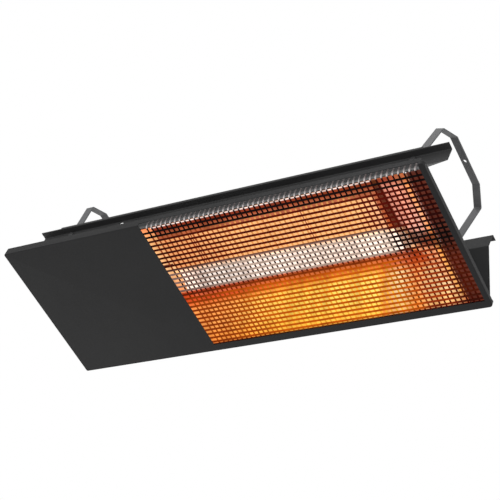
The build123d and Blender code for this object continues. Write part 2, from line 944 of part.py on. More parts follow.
def electrode_rod(side):
    start = tray_start - insulator_outside
    y = side * electrode_spread / 2
    return rod_x(start - rod_tail, start + insulator_length + rod_reach, y,
                 electrode_height, rod_radius)


# Hangers
def hanger():
    """A flat strap bent into an arch, laid out from its pivot axis."""
    points = [
        (-leg_outside, -strap_width / 2),
        (-leg_outside, strap_foot),
        (-hanger_shoulder, shoulder_rise),
        (-hanger_top, top_rise),
        (hanger_top, top_rise),
        (hanger_shoulder, shoulder_rise),
        (leg_outside, strap_foot),
        (leg_outside, -strap_width / 2),
    ]
    path = FilletPolyline(*points, radius=strap_bend)
    section = make_face(offset(path, amount=strap_thickness, side=Side.RIGHT))
    strap = extrude(Plane.YZ * section, amount=strap_width)
    strap = Pos(-strap_width / 2, 0, 0) * strap
    lower = strap.edges().filter_by(Axis.Y).filter_by_position(
        Axis.Z, -strap_width / 2 - 0.1, -strap_width / 2 + 0.1)
    strap = fillet(lower, strap_width / 2 - 0.1)
    strap = strap - rod_y(0, -leg_outside - 1, leg_outside + 1, 0,
                          bolt_diameter / 2 + running_gap)
    return strap - rod_z(0, 0, top_rise - strap_thickness - 1, top_rise + 1, hanger_hole / 2)


def pivot_bolt(x):
    """Bolt with its head on the outer face of the rear lip."""
    inner = leg_outside - strap_thickness - side_gap - nut_height - bolt_end
    shank = rod_y(x, inner, lip_half_width, pivot_height, bolt_diameter / 2)
    head = hex_y(x, lip_half_width, lip_half_width + bolt_head, pivot_height, bolt_flats)
    return shank + head


def pivot_nut(x):
    outer = leg_outside - strap_thickness - side_gap
    nut = hex_y(x, outer - nut_height, outer, pivot_height, bolt_flats)
    return nut - rod_y(x, outer - nut_height - 1, outer + 1, pivot_height,
                       bolt_diameter / 2 + rivet_fit)


def pivot_washer(x):
    washer = rod_y(x, lip_inside - washer_thickness, lip_inside, pivot_height, washer_radius)
    return washer - rod_y(x, lip_inside - 5, lip_inside + 1, pivot_height,
                          bolt_diameter / 2 + rivet_fit)


def both_sides(shape):
    return (shape, front(shape))


def hood_rivets():
    rivets = []
    for place in lid_rivet_places():
        rivets.extend(both_sides(rivet(place, lid_height + lid_flange / 2)))
    for place in burner_bracket_places():
        rivets.extend(both_sides(rivet(place, bracket_rivet_height())))
    return rivets


# The assembly
keep("lower_cover", lower_cover() - end_screw() - front(end_screw()))
keep("grille_long_wires", *long_wires())
keep("grille_short_wires", *short_wires())
keep("hood_wall_rear", rear_wall())
keep("hood_wall_front", front_wall())
keep("end_cap", end_cap())
keep("compartment_partition", partition())
keep("compartment_lid", control_lid())
keep("end_gusset_rear", end_gusset())
keep("end_gusset_front", front(end_gusset()))
keep("end_screws", *both_sides(end_screw()))
keep("end_apron", end_apron())
keep("hood_rivets", *hood_rivets())
for index in range(tile_count):
    keep(f"ceramic_tile_{index + 1}", tile(index))
keep("tile_gasket", tile_gasket())
keep("burner_plenum", plenum())
keep("gas_diffuser", diffuser())
keep("tile_retaining_frame", retaining_frame())
keep("frame_screws", *[frame_screw(place) for place in frame_screw_places()])
keep("side_reflector_rear", side_reflector())
keep("side_reflector_front", front(side_reflector()))
keep("end_reflector_right", right_end_reflector())
keep("end_reflector_left", left_end_reflector())
keep("burner_bracket_left", burner_bracket(0))
keep("burner_bracket_right", burner_bracket(1))
keep("mixing_tube", mixing_tube())
keep("gas_jet", gas_jet())
keep("manifold_pipe", manifold_pipe())
keep("gas_valve", gas_valve())
keep("valve_knob", valve_knob())
keep("valve_bracket", valve_bracket())
keep("inlet_nipple", inlet_nipple())
keep("inlet_coupling", inlet_coupling())
keep("ignition_module", ignition_module())
keep("transformer", transformer())
keep("terminal_block", terminal_block())
keep("cable_gland", cable_gland())
keep("igniter_insulator", insulator(1))
keep("igniter_rod", electrode_rod(1))
keep("flame_sensor_insulator", insulator(-1))
keep("flame_sensor_rod", electrode_rod(-1))
for side, pivot, lean in (("left", left_pivot, 0.0), ("right", right_pivot, right_hanger_lean)):
    keep(f"hanger_{side}", Pos(pivot, 0, pivot_height) * Rot(0, lean, 0) * hanger())
    keep(f"pivot_bolts_{side}", *both_sides(pivot_bolt(pivot)))
    keep(f"pivot_nuts_{side}", *both_sides(pivot_nut(pivot)))
    keep(f"pivot_washers_{side}", *both_sides(pivot_washer(pivot)))

for name, solids in made.items():
    placed = [Pos(-origin.X, -origin.Y, -origin.Z) * solid for solid in solids]
    shape = placed[0] if len(placed) == 1 else Compound(children=placed)
    export_step(shape, f"parts/{name}.step")
print(len(made), "nodes written")
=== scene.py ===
import json
import math

import bmesh
import bpy
import numpy as np
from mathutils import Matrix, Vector

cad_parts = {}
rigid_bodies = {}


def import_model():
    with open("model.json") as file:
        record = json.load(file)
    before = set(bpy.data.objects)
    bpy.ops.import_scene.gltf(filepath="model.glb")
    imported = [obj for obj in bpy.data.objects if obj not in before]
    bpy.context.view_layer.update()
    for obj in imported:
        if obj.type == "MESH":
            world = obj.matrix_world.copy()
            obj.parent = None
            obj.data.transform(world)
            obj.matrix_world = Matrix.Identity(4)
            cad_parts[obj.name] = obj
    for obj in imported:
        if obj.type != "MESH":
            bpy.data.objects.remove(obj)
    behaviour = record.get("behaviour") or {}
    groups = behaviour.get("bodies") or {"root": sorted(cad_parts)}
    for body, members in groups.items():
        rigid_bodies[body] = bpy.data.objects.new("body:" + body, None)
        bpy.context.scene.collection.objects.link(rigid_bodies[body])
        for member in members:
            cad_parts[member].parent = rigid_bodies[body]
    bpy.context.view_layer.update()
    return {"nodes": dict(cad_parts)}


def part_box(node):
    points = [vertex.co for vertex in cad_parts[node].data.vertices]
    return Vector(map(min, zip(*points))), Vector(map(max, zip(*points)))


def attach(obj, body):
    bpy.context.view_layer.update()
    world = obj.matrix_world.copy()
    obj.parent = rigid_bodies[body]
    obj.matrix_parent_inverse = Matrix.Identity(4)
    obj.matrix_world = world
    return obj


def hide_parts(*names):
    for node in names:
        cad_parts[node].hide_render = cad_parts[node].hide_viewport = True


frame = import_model()

bl_info = {
    "name": "Overhead Gas Heater Dressing",
    "version": (1, 0, 0),
    "blender": (4, 5, 0),
    "location": "View3D > Sidebar > Heater",
    "description": "Dresses the overhead gas heater: painted sheet metal, welded grille, "
                   "glowing burner, hangers, screws and the studio around them",
    "category": "Object",
}

BODY = "heater"
X_WAY = (1.0, 0.0, 0.0)
Y_WAY = (0.0, 1.0, 0.0)
Z_WAY = (0.0, 0.0, 1.0)
ALONG_X, ALONG_Y = 0, 1
ROUND, HEXAGON = 0, 6               # sides of a turned shape, 0 for a round one
JOIN_DISTANCE = 1e-6                # points closer than this are one
SENSOR_WIDTH = 36.0                 # the camera's sensor, in millimetres
FAR = 200.0                         # how far the camera sees, in metres


def limits(node):
    """Lowest and highest corner of a node as two numpy rows, in metres."""
    low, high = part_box(node)
    return np.array(low, float), np.array(high, float)


def solids(node):
    """Lowest and highest corners of each separate solid of a node, as two (count, 3) arrays.

    Points that share a place are one, and every edge gives its two ends the lower of their
    labels until no label changes, so that each solid ends up with one label.
    """
    mesh = frame["nodes"][node].data
    points = np.zeros(len(mesh.vertices) * 3)
    mesh.vertices.foreach_get("co", points)
    points = points.reshape(-1, 3)
    edges = np.zeros(len(mesh.edges) * 2, dtype=int)
    mesh.edges.foreach_get("vertices", edges)
    cells = np.round(points / JOIN_DISTANCE).astype(int)
    same = np.unique(cells, axis=0, return_inverse=True)[1].ravel()
    ends = same[edges.reshape(-1, 2)]
    label = np.arange(same.max() + 1)
    while True:
        least = label[ends].min(axis=1)
        new = label.copy()
        np.minimum.at(new, ends[:, 0], least)
        np.minimum.at(new, ends[:, 1], least)
        if np.array_equal(new, label):
            break
        label = new
    owner = label[same]
    groups = np.unique(owner)
    lows = np.array([points[owner == group].min(axis=0) for group in groups])
    highs = np.array([points[owner == group].max(axis=0) for group in groups])
    return lows, highs


LONG_LOW, LONG_HIGH = limits("grille_long_wires")
SHORT_LOW, SHORT_HIGH = limits("grille_short_wires")
COVER_LOW, COVER_HIGH = limits("lower_cover")
TILES_LOW = limits("ceramic_tile_1")[0]
TILES_HIGH = limits("ceramic_tile_6")[1]
SIDE_LOW, SIDE_HIGH = limits("side_reflector_rear")
WIRE_ACROSS = float(LONG_HIGH[2] - LONG_LOW[2]) / math.cos(math.pi / 6)   # over the corners
TILE_COUNT = 6
FIRST, LAST = TILES_LOW[0], TILES_HIGH[0]                   # ends of the row of tiles


# Settings that a user would change
class HeaterSizes(bpy.types.PropertyGroup):
    long_wire_diameter: bpy.props.FloatProperty(
        name="Long wire diameter", description="Diameter of the grille's long wires, fuller "
        "than the six-sided solid ones by the paint and scale on them",
        default=1.46 * WIRE_ACROSS,
        min=0.001, max=0.006, unit="LENGTH", precision=4)
    cross_wire_diameter: bpy.props.FloatProperty(
        name="Cross wire diameter", description="Diameter of the grille's cross wires",
        default=1.16 * WIRE_ACROSS,
        min=0.001, max=0.006, unit="LENGTH", precision=4)
    long_wires: bpy.props.IntProperty(
        name="Long wires", description="Wires that run the length of the window",
        default=28, min=2, max=60)
    short_wires: bpy.props.IntProperty(
        name="Cross wires", description="Wires that run across the window",
        default=53, min=2, max=120)
    wire_bend: bpy.props.FloatProperty(
        name="Wire bend", description="Bend radius at the turned-up wire ends",
        default=0.006, min=0.001, max=0.02, unit="LENGTH", precision=4)
    wire_sides: bpy.props.IntProperty(
        name="Wire sides", description="Flats round each wire", default=10, min=6, max=24)
    notch_height: bpy.props.FloatProperty(
        name="Notch height", description="How far the window is cut up into the cover's front "
        "skirt, so that the turned-up wire ends show",
        default=0.008, min=0.0, max=0.02, unit="LENGTH", precision=4)
    hole_pitch: bpy.props.FloatProperty(
        name="Burner hole pitch", description="Distance between the pinholes of a tile",
        default=0.0024, min=0.001, max=0.01, unit="LENGTH", precision=4)


class HeaterFinish(bpy.types.PropertyGroup):
    cover_paint: bpy.props.FloatVectorProperty(
        name="Cover paint", description="Charcoal powder coat of the lower cover",
        subtype="COLOR", size=3, default=(0.0108, 0.0108, 0.0112), min=0.0, max=1.0)
    # The hood walls' coat is the cover's charcoal painted lighter: painted light that lifts the
    # shade inside the hood.
    hood_paint_lightened: bpy.props.FloatVectorProperty(
        name="Hood paint", description="Powder coat of the hood walls",
        subtype="COLOR", size=3, default=(0.036, 0.036, 0.0365), min=0.0, max=1.0)
    strap_paint: bpy.props.FloatVectorProperty(
        name="Strap paint", description="Satin grey of the two hanger straps",
        subtype="COLOR", size=3, default=(0.07, 0.071, 0.074), min=0.0, max=1.0)
    wire_paint: bpy.props.FloatVectorProperty(
        name="Wire paint", description="Heat-resistant paint of the grille",
        subtype="COLOR", size=3, default=(0.007, 0.005, 0.005), min=0.0, max=1.0)
    # Wire ends: a light bare-steel colour that partly stands in for a painted highlight on the
    # turned-up ends.
    wire_end: bpy.props.FloatVectorProperty(
        name="Wire ends", description="Bare steel of the turned-up wire ends",
        subtype="COLOR", size=3, default=(0.7, 0.64, 0.63), min=0.0, max=1.0)
    tile_glow: bpy.props.FloatVectorProperty(
        name="Tile glow", description="Colour of the glowing tiles",
        subtype="COLOR", size=3, default=(0.93, 0.53, 0.225), min=0.0, max=1.0)
    # Brightest painted glow on the reflectors: the burner's light painted on as reflection.
    painted_reflector_glow: bpy.props.FloatVectorProperty(
        name="Heat glow", description="Brightest glow on the polished reflectors",
        subtype="COLOR", size=3, default=(0.95, 0.66, 0.09), min=0.0, max=1.0)
    # Duller red painted glow at the edges of the reflectors.
    dull_red_painted_glow: bpy.props.FloatVectorProperty(
        name="Ember", description="Duller red glow at the edges of the reflectors",
        subtype="COLOR", size=3, default=(0.6, 0.14, 0.03), min=0.0, max=1.0)
    # Strength of the tiles' own glow and of the painted glow on the wires, reflectors and end
    # apron.
    glow_strength: bpy.props.FloatProperty(
        name="Glow strength", description="How brightly tiles, wires and reflectors glow",
        default=1.0, min=0.0, max=20.0)


class StudioSettings(bpy.types.PropertyGroup):
    camera_place: bpy.props.FloatVectorProperty(
        name="Camera place", description="Where the camera stands",
        subtype="TRANSLATION", unit="LENGTH", size=3, default=(2.0534, -1.6258, -2.4476))
    camera_turn: bpy.props.FloatVectorProperty(
        name="Camera turn", description="Camera angles about X, Y and Z",
        subtype="EULER", unit="ROTATION", size=3,
        default=tuple(math.radians(angle) for angle in (137.3585, -16.3888, 27.3842)))
    camera_lens: bpy.props.FloatProperty(
        name="Lens", description="Focal length on a 36 mm wide sensor", default=100.57,
        min=10.0, max=300.0, unit="CAMERA")
    floor_height: bpy.props.FloatProperty(
        name="Floor height", description="Height of the floor below the hanging point",
        default=-4.2, max=0.0, unit="LENGTH")
    floor_size: bpy.props.FloatProperty(
        name="Floor size", description="Side of the square floor", default=80.0, min=1.0,
        unit="LENGTH")


# Shapes as whole arrays
def strip_faces(rows, columns):
    """Four-sided faces between neighbouring rings.

    A grid has `rows` rings of `columns` points each. Face (i, j) joins point j and the next
    point round the ring, on ring i and ring i + 1.
    """
    i, j = np.meshgrid(np.arange(rows - 1), np.arange(columns), indexing="ij")
    k = (j + 1) % columns
    quads = np.stack([i * columns + j, i * columns + k,
                      (i + 1) * columns + k, (i + 1) * columns + j], axis=-1)
    return quads.reshape(-1, 4)


def end_caps(rows, columns):
    """Three-sided faces from the first and the last ring to an end point each.

    The two end points are numbered after the rings, the first ring's end point first.
    """
    j = np.arange(columns)
    k = (j + 1) % columns
    first = np.full(columns, rows * columns)
    base = (rows - 1) * columns
    return np.concatenate([np.stack([k, j, first], -1),
                           np.stack([base + j, base + k, first + 1], -1)])


def swept_rings(path, side, radius, sides):
    """Rings of a round bar along a flat path.

    path is (n, 3) points in one plane and side is that plane's unit normal. At each point
    the ring is centre + radius * (cos(a) * side + sin(a) * across), where across is the path's
    direction crossed with side, and it is stretched at a corner by 1 / cos(half turn), up to
    1 / 0.3.
    """
    step = np.diff(path, axis=0)
    step /= np.linalg.norm(step, axis=1, keepdims=True)
    before = np.vstack([step[:1], step])
    after = np.vstack([step, step[-1:]])
    along = before + after
    along /= np.linalg.norm(along, axis=1, keepdims=True)
    across = np.cross(along, side)
    stretch = 1.0 / np.clip(np.sum(along * after, axis=1), 0.3, 1.0)
    angle = (2 * np.pi * (np.arange(sides) + 0.5) / sides)[:, None]
    return (path[:, None] + radius * np.cos(angle) * np.array(side)
            + radius * np.sin(angle) * (across * stretch[:, None])[:, None])


def closed_tube(path, side, radius, sides, end_round):
    """A round bar with domed ends: the swept rings, two smaller end rings and two end points.

    The last ring before each end point has (1 - end_round) of the radius.
    """
    rings = swept_rings(path, side, radius, sides)
    head = path[0] + (rings[0] - path[0]) * (1 - end_round)
    tail = path[-1] + (rings[-1] - path[-1]) * (1 - end_round)
    start = path[1] - path[0]
    finish = path[-1] - path[-2]
    start /= np.linalg.norm(start)
    finish /= np.linalg.norm(finish)
    rings[0] += start * radius * end_round
    rings[-1] -= finish * radius * end_round
    rings = np.concatenate([head[None], rings, tail[None]])
    points = np.concatenate([rings.reshape(-1, 3), path[:1], path[-1:]])
    return points, strip_faces(len(rings), sides), end_caps(len(rings), sides)


def copies(points, quads, triangles, offsets):
    """The same shape at each offset: points + offset, and faces moved on by whole copies."""
    shift = (np.arange(len(offsets)) * len(points))[:, None, None]
    return ((points + offsets[:, None]).reshape(-1, 3), (quads + shift).reshape(-1, 4),
            (triangles + shift).reshape(-1, 3))


def together(*shapes):
    """Several (points, quads, triangles) shapes as one."""
    starts = np.cumsum([0] + [len(shape[0]) for shape in shapes[:-1]])
    points, *faces = ([shape[part] for shape in shapes] for part in range(3))
    return (np.concatenate(points),
            *(np.concatenate([rows + start for rows, start in zip(kind, starts)])
              for kind in faces))


def turned(profile, centre, axis, sides, flats=0):
    """A turned shape: profile (radius, height) carried round an axis through centre.

    Point (i, j) is centre + height i * axis + radius i * (cos(a j), sin(a j)) across it, with
    heights rising. With flats, the ring is a regular polygon with that many sides and radius
    is its corner radius. The first and last rows close the shape in a point on the axis.
    """
    profile = np.asarray(profile, float)
    axis = np.asarray(axis, float) / np.linalg.norm(axis)
    u = np.cross(axis, Z_WAY if abs(axis[2]) < 0.9 else X_WAY)
    u /= np.linalg.norm(u)
    v = np.cross(axis, u)
    angle = 2 * np.pi * np.arange(sides) / sides
    scale = np.ones(sides)
    if flats:
        part = np.pi / flats
        scale = np.cos(part) / np.cos(angle % (2 * part) - part)
    ring = (np.cos(angle)[:, None] * u + np.sin(angle)[:, None] * v) * scale[:, None]
    radii, heights = profile[1:-1, :, None, None].transpose(1, 0, 2, 3)
    rings = centre + heights * axis + radii * ring
    ends = centre + profile[[0, -1], 1][:, None] * axis
    points = np.concatenate([rings.reshape(-1, 3), ends])
    return points, strip_faces(len(rings), sides), end_caps(len(rings), sides)


def placed(name, data):
    """A new object at the origin of the scene."""
    obj = bpy.data.objects.new(name, data)
    bpy.context.scene.collection.objects.link(obj)
    return obj


def dress(obj, material, nodes, body, fold):
    """Give an object one material, and smooth shading but for folds sharper than fold degrees.

    It rides on the body and stands for the nodes.
    """
    mesh = obj.data
    count = len(mesh.polygons)
    mesh.materials.clear()
    mesh.materials.append(material)
    mesh.polygons.foreach_set("material_index", np.zeros(count, dtype=np.int32))
    mesh.polygons.foreach_set("use_smooth", np.ones(count, dtype=bool))
    mesh.set_sharp_from_angle(angle=math.radians(fold))
    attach(obj, body)
    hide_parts(*nodes)


def piece(name, shape, material, nodes, body=BODY, fold=35.0):
    """A finished mesh at the origin from points, four-sided and three-sided faces."""
    points, quads, triangles = shape
    mesh = bpy.data.meshes.new(name)
    corners = np.concatenate([quads.ravel(), triangles.ravel()]).astype(np.int32)
    sizes = np.concatenate([np.full(len(quads), 4), np.full(len(triangles), 3)])
    starts = np.concatenate([[0], np.cumsum(sizes)[:-1]]).astype(np.int32)
    mesh.vertices.add(len(points))
    mesh.vertices.foreach_set("co", points.astype(np.float32).ravel())
    mesh.loops.add(len(corners))
    mesh.loops.foreach_set("vertex_index", corners)
    mesh.polygons.add(len(sizes))
    mesh.polygons.foreach_set("loop_start", starts)
    mesh.update(calc_edges=True)
    mesh.validate()
    dress(placed(name, mesh), material, nodes, body, fold)


def body_of(node):
    """The body that a CAD node rides on."""
    return frame["nodes"][node].parent.name.split(":", 1)[1]


def fasteners(name, node, material, way, sides, shape):
    """One turned fastener for each solid of a node, drawn by shape(length, radius).

    way is ALONG_X or ALONG_Y, and a fastener's outer end is the one further from the middle
    of the heater.
    """
    middle = (COVER_LOW + COVER_HIGH) / 2
    parts = []
    for low, high in zip(*solids(node)):
        centre = (low + high) / 2
        outward = 1.0 if centre[way] > middle[way] else -1.0
        axis = np.zeros(3)
        axis[way] = outward
        centre[way] = low[way] if outward > 0 else high[way]
        length = high[way] - low[way]
        across = ALONG_X if way == ALONG_Y else ALONG_Y
        radius = (high[across] - low[across]) / 2
        for profile, flats in shape(length, radius):
            parts.append(turned(profile, centre, axis, sides, flats))
    piece(name, together(*parts), material, [node], body_of(node), fold=28.0)


def domed_rivet(length, radius):
    """Pop rivet: the outer head is a dome, height = dome * cos(a) at radius * sin(a)."""
    dome = 0.0012
    head = length - dome
    angle = np.linspace(np.pi / 2, 0.0, num=6)
    cap = np.column_stack([radius * np.sin(angle), head + dome * np.cos(angle)])
    shank = np.array([(0.0, 0.0), (radius * 0.55, 0.0), (radius * 0.8, 0.0005),
                      (radius * 0.8, dome), (radius * 0.5, dome), (radius * 0.5, head)])
    return [(np.concatenate([shank, cap]), ROUND)]


def hex_bolt(length, radius):
    """Hexagon head with a chamfered top, over a round shank with a chamfered end."""
    shank, chamfer, overlap = 0.004, 0.0008, 0.001
    head, rim = length - 0.0053, length - 0.0012
    return [([(0.0, 0.0), (shank - chamfer, 0.0), (shank, chamfer), (shank, head + overlap),
              (0.0, head + overlap)], ROUND),
            ([(0.0, head), (radius, head), (radius, rim), (radius * 0.86, length),
              (0.0, length)], HEXAGON)]


def hex_nut(length, radius):
    """Hexagon nut with both rims chamfered."""
    chamfer = 0.0011
    return [([(0.0, 0.0), (radius * 0.87, 0.0), (radius, chamfer), (radius, length - chamfer),
              (radius * 0.87, length), (0.0, length)], HEXAGON)]


def button_screw(length, radius):
    """Button-head screw: shank, low dome and a round socket in its middle."""
    head = length - 0.0024
    socket_floor = length - 0.0014
    shank, socket = radius * 0.52, radius * 0.42
    return [([(0.0, 0.0), (shank, 0.0), (shank, head), (radius, head), (radius, head + 0.0007),
              (radius * 0.93, head + 0.0014), (radius * 0.78, head + 0.002),
              (radius * 0.55, length), (socket, length), (socket * 0.94, socket_floor),
              (0.0, socket_floor)], ROUND)]


# Material building
NOISE_LOW, NOISE_HIGH = 0.3, 0.7    # where most of a noise's values lie
MIX_INPUTS = (0, 6, 7)              # a Mix node's factor and its two colours
MIX_COLOUR = 2                      # a Mix node's colour output
BLACK, WHITE = (0.0, 0.0, 0.0), (1.0, 1.0, 1.0)
EVEN = (1.0, 1.0, 1.0)              # a pattern's scale when it isn't stretched
SOCKETS = {"colour": "Base Color", "rough": "Roughness", "normal": "Normal",
           "metallic": "Metallic", "specular": "Specular IOR Level", "coat": "Coat Weight",
           "coat_rough": "Coat Roughness", "glow": "Emission Color",
           "power": "Emission Strength"}


class Tree:
    """A short way to lay out nodes: sockets, numbers and colours go in, a socket comes out."""

    def __init__(self, owner):
        owner.use_nodes = True
        self.tree = owner.node_tree
        self.tree.nodes.clear()

    def put(self, value, socket):
        """Link a node's output to the socket, or set it to a number, a vector or a colour."""
        if isinstance(value, bpy.types.NodeSocket):
            self.tree.links.new(value, socket)
        elif socket.type == "RGBA":
            socket.default_value = (*value, 1.0)
        else:
            socket.default_value = value

    def add(self, kind, inputs, output=0, **settings):
        node = self.tree.nodes.new(kind)
        for key, value in settings.items():
            setattr(node, key, value)
        for key, value in inputs.items():
            self.put(value, node.inputs[key])
        return node.outputs[output] if node.outputs else None

    def maths(self, operation, *values):
        return self.add("ShaderNodeMath", dict(enumerate(values)), operation=operation)

    def seen_rays(self):
        """1 for camera, glossy and transmission rays, else 0."""
        camera, glossy, through = (
            self.add("ShaderNodeLightPath", {}, ray)
            for ray in ("Is Camera Ray", "Is Glossy Ray", "Is Transmission Ray"))
        return self.maths("MAXIMUM", self.maths("MAXIMUM", camera, glossy), through)


class Nodes(Tree):
    """The nodes of one finish, which read the point's place on the object."""

    def __init__(self, name):
        old = bpy.data.materials.get(name)
        if old:
            bpy.data.materials.remove(old)
        self.material = bpy.data.materials.new(name)
        super().__init__(self.material)
        self.shader = self.tree.nodes.new("ShaderNodeBsdfPrincipled")
        self.add("ShaderNodeOutputMaterial", {"Surface": self.shader.outputs["BSDF"]})
        self.place = self.add("ShaderNodeTexCoord", {}, "Object")

    def surface(self, **values):
        """Set the shader's sockets by their short names and give the material."""
        for key, value in values.items():
            self.put(value, self.shader.inputs[SOCKETS[key]])
        return self.material

    def stretched(self, scale):
        """The point's place, stretched by scale."""
        return self.add("ShaderNodeMapping", {"Vector": self.place, "Scale": scale})

    def axis(self, letter):
        """The point's place along X, Y or Z."""
        return self.add("ShaderNodeSeparateXYZ", {"Vector": self.place}, letter)

    def noise(self, scale, detail=3.0, roughness=0.55, stretch=EVEN):
        return self.add("ShaderNodeTexNoise", {
            "Vector": self.stretched(stretch), "Scale": scale, "Detail": detail,
            "Roughness": roughness}, "Fac")

    def ramp(self, source, stops):
        """A colour ramp; stops are (share, colour) pairs in rising order."""
        node = self.tree.nodes.new("ShaderNodeValToRGB")
        elements = node.color_ramp.elements
        while len(elements) < len(stops):
            elements.new(0.5)
        for element, (at, colour) in zip(elements, stops):
            element.position = at
            element.color = (*colour, 1.0)
        self.put(source, node.inputs["Fac"])
        return node.outputs["Color"]

    def remap(self, source, low, high, to_low=0.0, to_high=1.0):
        return self.add("ShaderNodeMapRange", {
            "Value": source, "From Min": low, "From Max": high, "To Min": to_low,
            "To Max": to_high})

    def tones(self, noise, low, high):
        """A colour that runs from low to high over the middle range of a noise."""
        return self.ramp(noise, [(NOISE_LOW, low), (NOISE_HIGH, high)])

    def spread(self, noise, low, high):
        """A number that runs from low to high over the middle range of a noise."""
        return self.remap(noise, NOISE_LOW, NOISE_HIGH, low, high)

    def mix(self, factor, first, second, blend="MIX"):
        return self.add("ShaderNodeMix", dict(zip(MIX_INPUTS, (factor, first, second))),
                        MIX_COLOUR, data_type="RGBA", blend_type=blend)

    def bump(self, height, strength, distance, below=None):
        """A bump of the height, on top of another bump where below is given."""
        inputs = {"Height": height, "Strength": strength, "Distance": distance}
        if below:
            inputs["Normal"] = below
        return self.add("ShaderNodeBump", inputs)


def shades(colour, *factors):
    """The colour made darker or lighter by each factor."""
    return [tuple(min(channel * factor, 1.0) for channel in colour) for factor in factors]


def powder_coat(colour, name="powder_coat", glow=None):
    """Baked powder paint: fine orange-peel grain, faint cloudiness and a low sheen.

    glow is a painted dull red glow on the faces that look down: the burner's light painted onto
    a sheet beside it.
    """
    nodes = Nodes(name)
    if glow:
        dull, red = shades(glow, 0.5, 1.3)
        heat_and_painted_glow = nodes.ramp(nodes.noise(20.0, detail=2.0), [(0.35, dull), (0.65, red)])
        nodes.surface(glow=heat_and_painted_glow, power=looking_down(nodes))
    cloud = nodes.noise(9.0, detail=2.0)
    grain = nodes.noise(1400.0, detail=2.0, roughness=0.6)
    fine = nodes.noise(420.0, detail=2.0)
    low, high, speck = shades(colour, 0.9, 1.12, 1.9)
    specks = nodes.ramp(grain, [(0.62, BLACK), (0.78, WHITE)])
    coarse = nodes.bump(fine, 0.12, 0.0006)
    return nodes.surface(specular=0.16,
                         colour=nodes.mix(specks, nodes.tones(cloud, low, high), speck),
                         rough=nodes.spread(fine, 0.46, 0.62),
                         normal=nodes.bump(grain, 0.22, 0.0003, coarse))


def satin_paint(name, colour):
    """Smooth sprayed paint on straps and fasteners, with small worn specks that show steel."""
    nodes = Nodes(name)
    worn_steel = (0.32, 0.31, 0.3)
    cloud = nodes.noise(30.0)
    chip = nodes.noise(260.0, detail=4.0, roughness=0.7)
    base = nodes.tones(cloud, *shades(colour, 0.82, 1.2))
    chips = nodes.ramp(chip, [(0.71, BLACK), (0.76, WHITE)])
    return nodes.surface(specular=0.4, colour=nodes.mix(chips, base, worn_steel),
                         rough=nodes.spread(cloud, 0.35, 0.52),
                         normal=nodes.bump(chip, 0.15, 0.0003))


def glow_map(nodes, direction, stops):
    """A colour band along a direction of the object; stops are (place in metres, colour).

    The place is the point's position times the direction, x * dx + y * dy + z * dz.
    """
    place = nodes.add("ShaderNodeVectorMath", {0: nodes.place, 1: direction}, "Value",
                      operation="DOT_PRODUCT")
    low, high = stops[0][0], stops[-1][0]
    scaled = [((at - low) / (high - low), colour) for at, colour in stops]
    return nodes.ramp(nodes.remap(place, low, high), scaled)


def looking_down(nodes):
    """1 on faces that look down, else 0: the face's normal along Z is under about -0.01."""
    normal = nodes.add("ShaderNodeNewGeometry", {}, "True Normal")
    upright = nodes.add("ShaderNodeSeparateXYZ", {"Vector": normal}, "Z")
    return nodes.remap(upright, -0.02, -0.005, 1.0, 0.0)


def wire_paint_painted_glow(name, colour, end_colour, bands, spans, past, end_at, strength, fade=None):
    """Matt black wire paint with a painted dull red glow over the burner: the light of what is
    seen behind the wires is painted onto them. The wire ends are bare, in a light steel colour
    that also stands in for the highlight on them.

    bands gives the painted glow across the window and spans its share along the window. past is
    a (place along X, bands) pair that takes over past the burner, and end_at is how far from
    the middle the bare ends start. fade is the pair of heights between which the bare ends
    darken going up.
    """
    nodes = Nodes(name)
    blur, edge = 0.01, 0.001
    past_at, past_bands = past
    beyond = nodes.remap(nodes.axis("X"), past_at - blur, past_at + blur)
    across = nodes.mix(beyond, glow_map(nodes, Y_WAY, bands),
                       glow_map(nodes, Y_WAY, past_bands))
    heat_and_painted_glow = nodes.mix(1.0, across, glow_map(nodes, X_WAY, spans), "MULTIPLY")
    uneven = nodes.spread(nodes.noise(55.0, detail=2.0), 0.75, 1.2)
    soot_and_dark_reflection = nodes.noise(60.0)
    black = nodes.tones(soot_and_dark_reflection, *shades(colour, 0.8, 1.2))
    offset = nodes.maths("ABSOLUTE", nodes.axis("Y"))
    bare_and_highlight = nodes.remap(offset, end_at - edge, end_at + edge)
    ends = end_colour
    # Bare ends darker going up the risers.
    if fade:
        light_at, dark_at = fade
        darker_end, = shades(end_colour, 0.3)
        ends = glow_map(nodes, Z_WAY, [(light_at, end_colour), (dark_at, darker_end)])
    return nodes.surface(specular=0.0, colour=nodes.mix(bare_and_highlight, black, ends),
                         rough=nodes.spread(soot_and_dark_reflection, 0.7, 0.9),
                         normal=nodes.bump(nodes.noise(900.0), 0.2, 0.0003),
                         glow=heat_and_painted_glow, power=nodes.maths("MULTIPLY", uneven, strength))


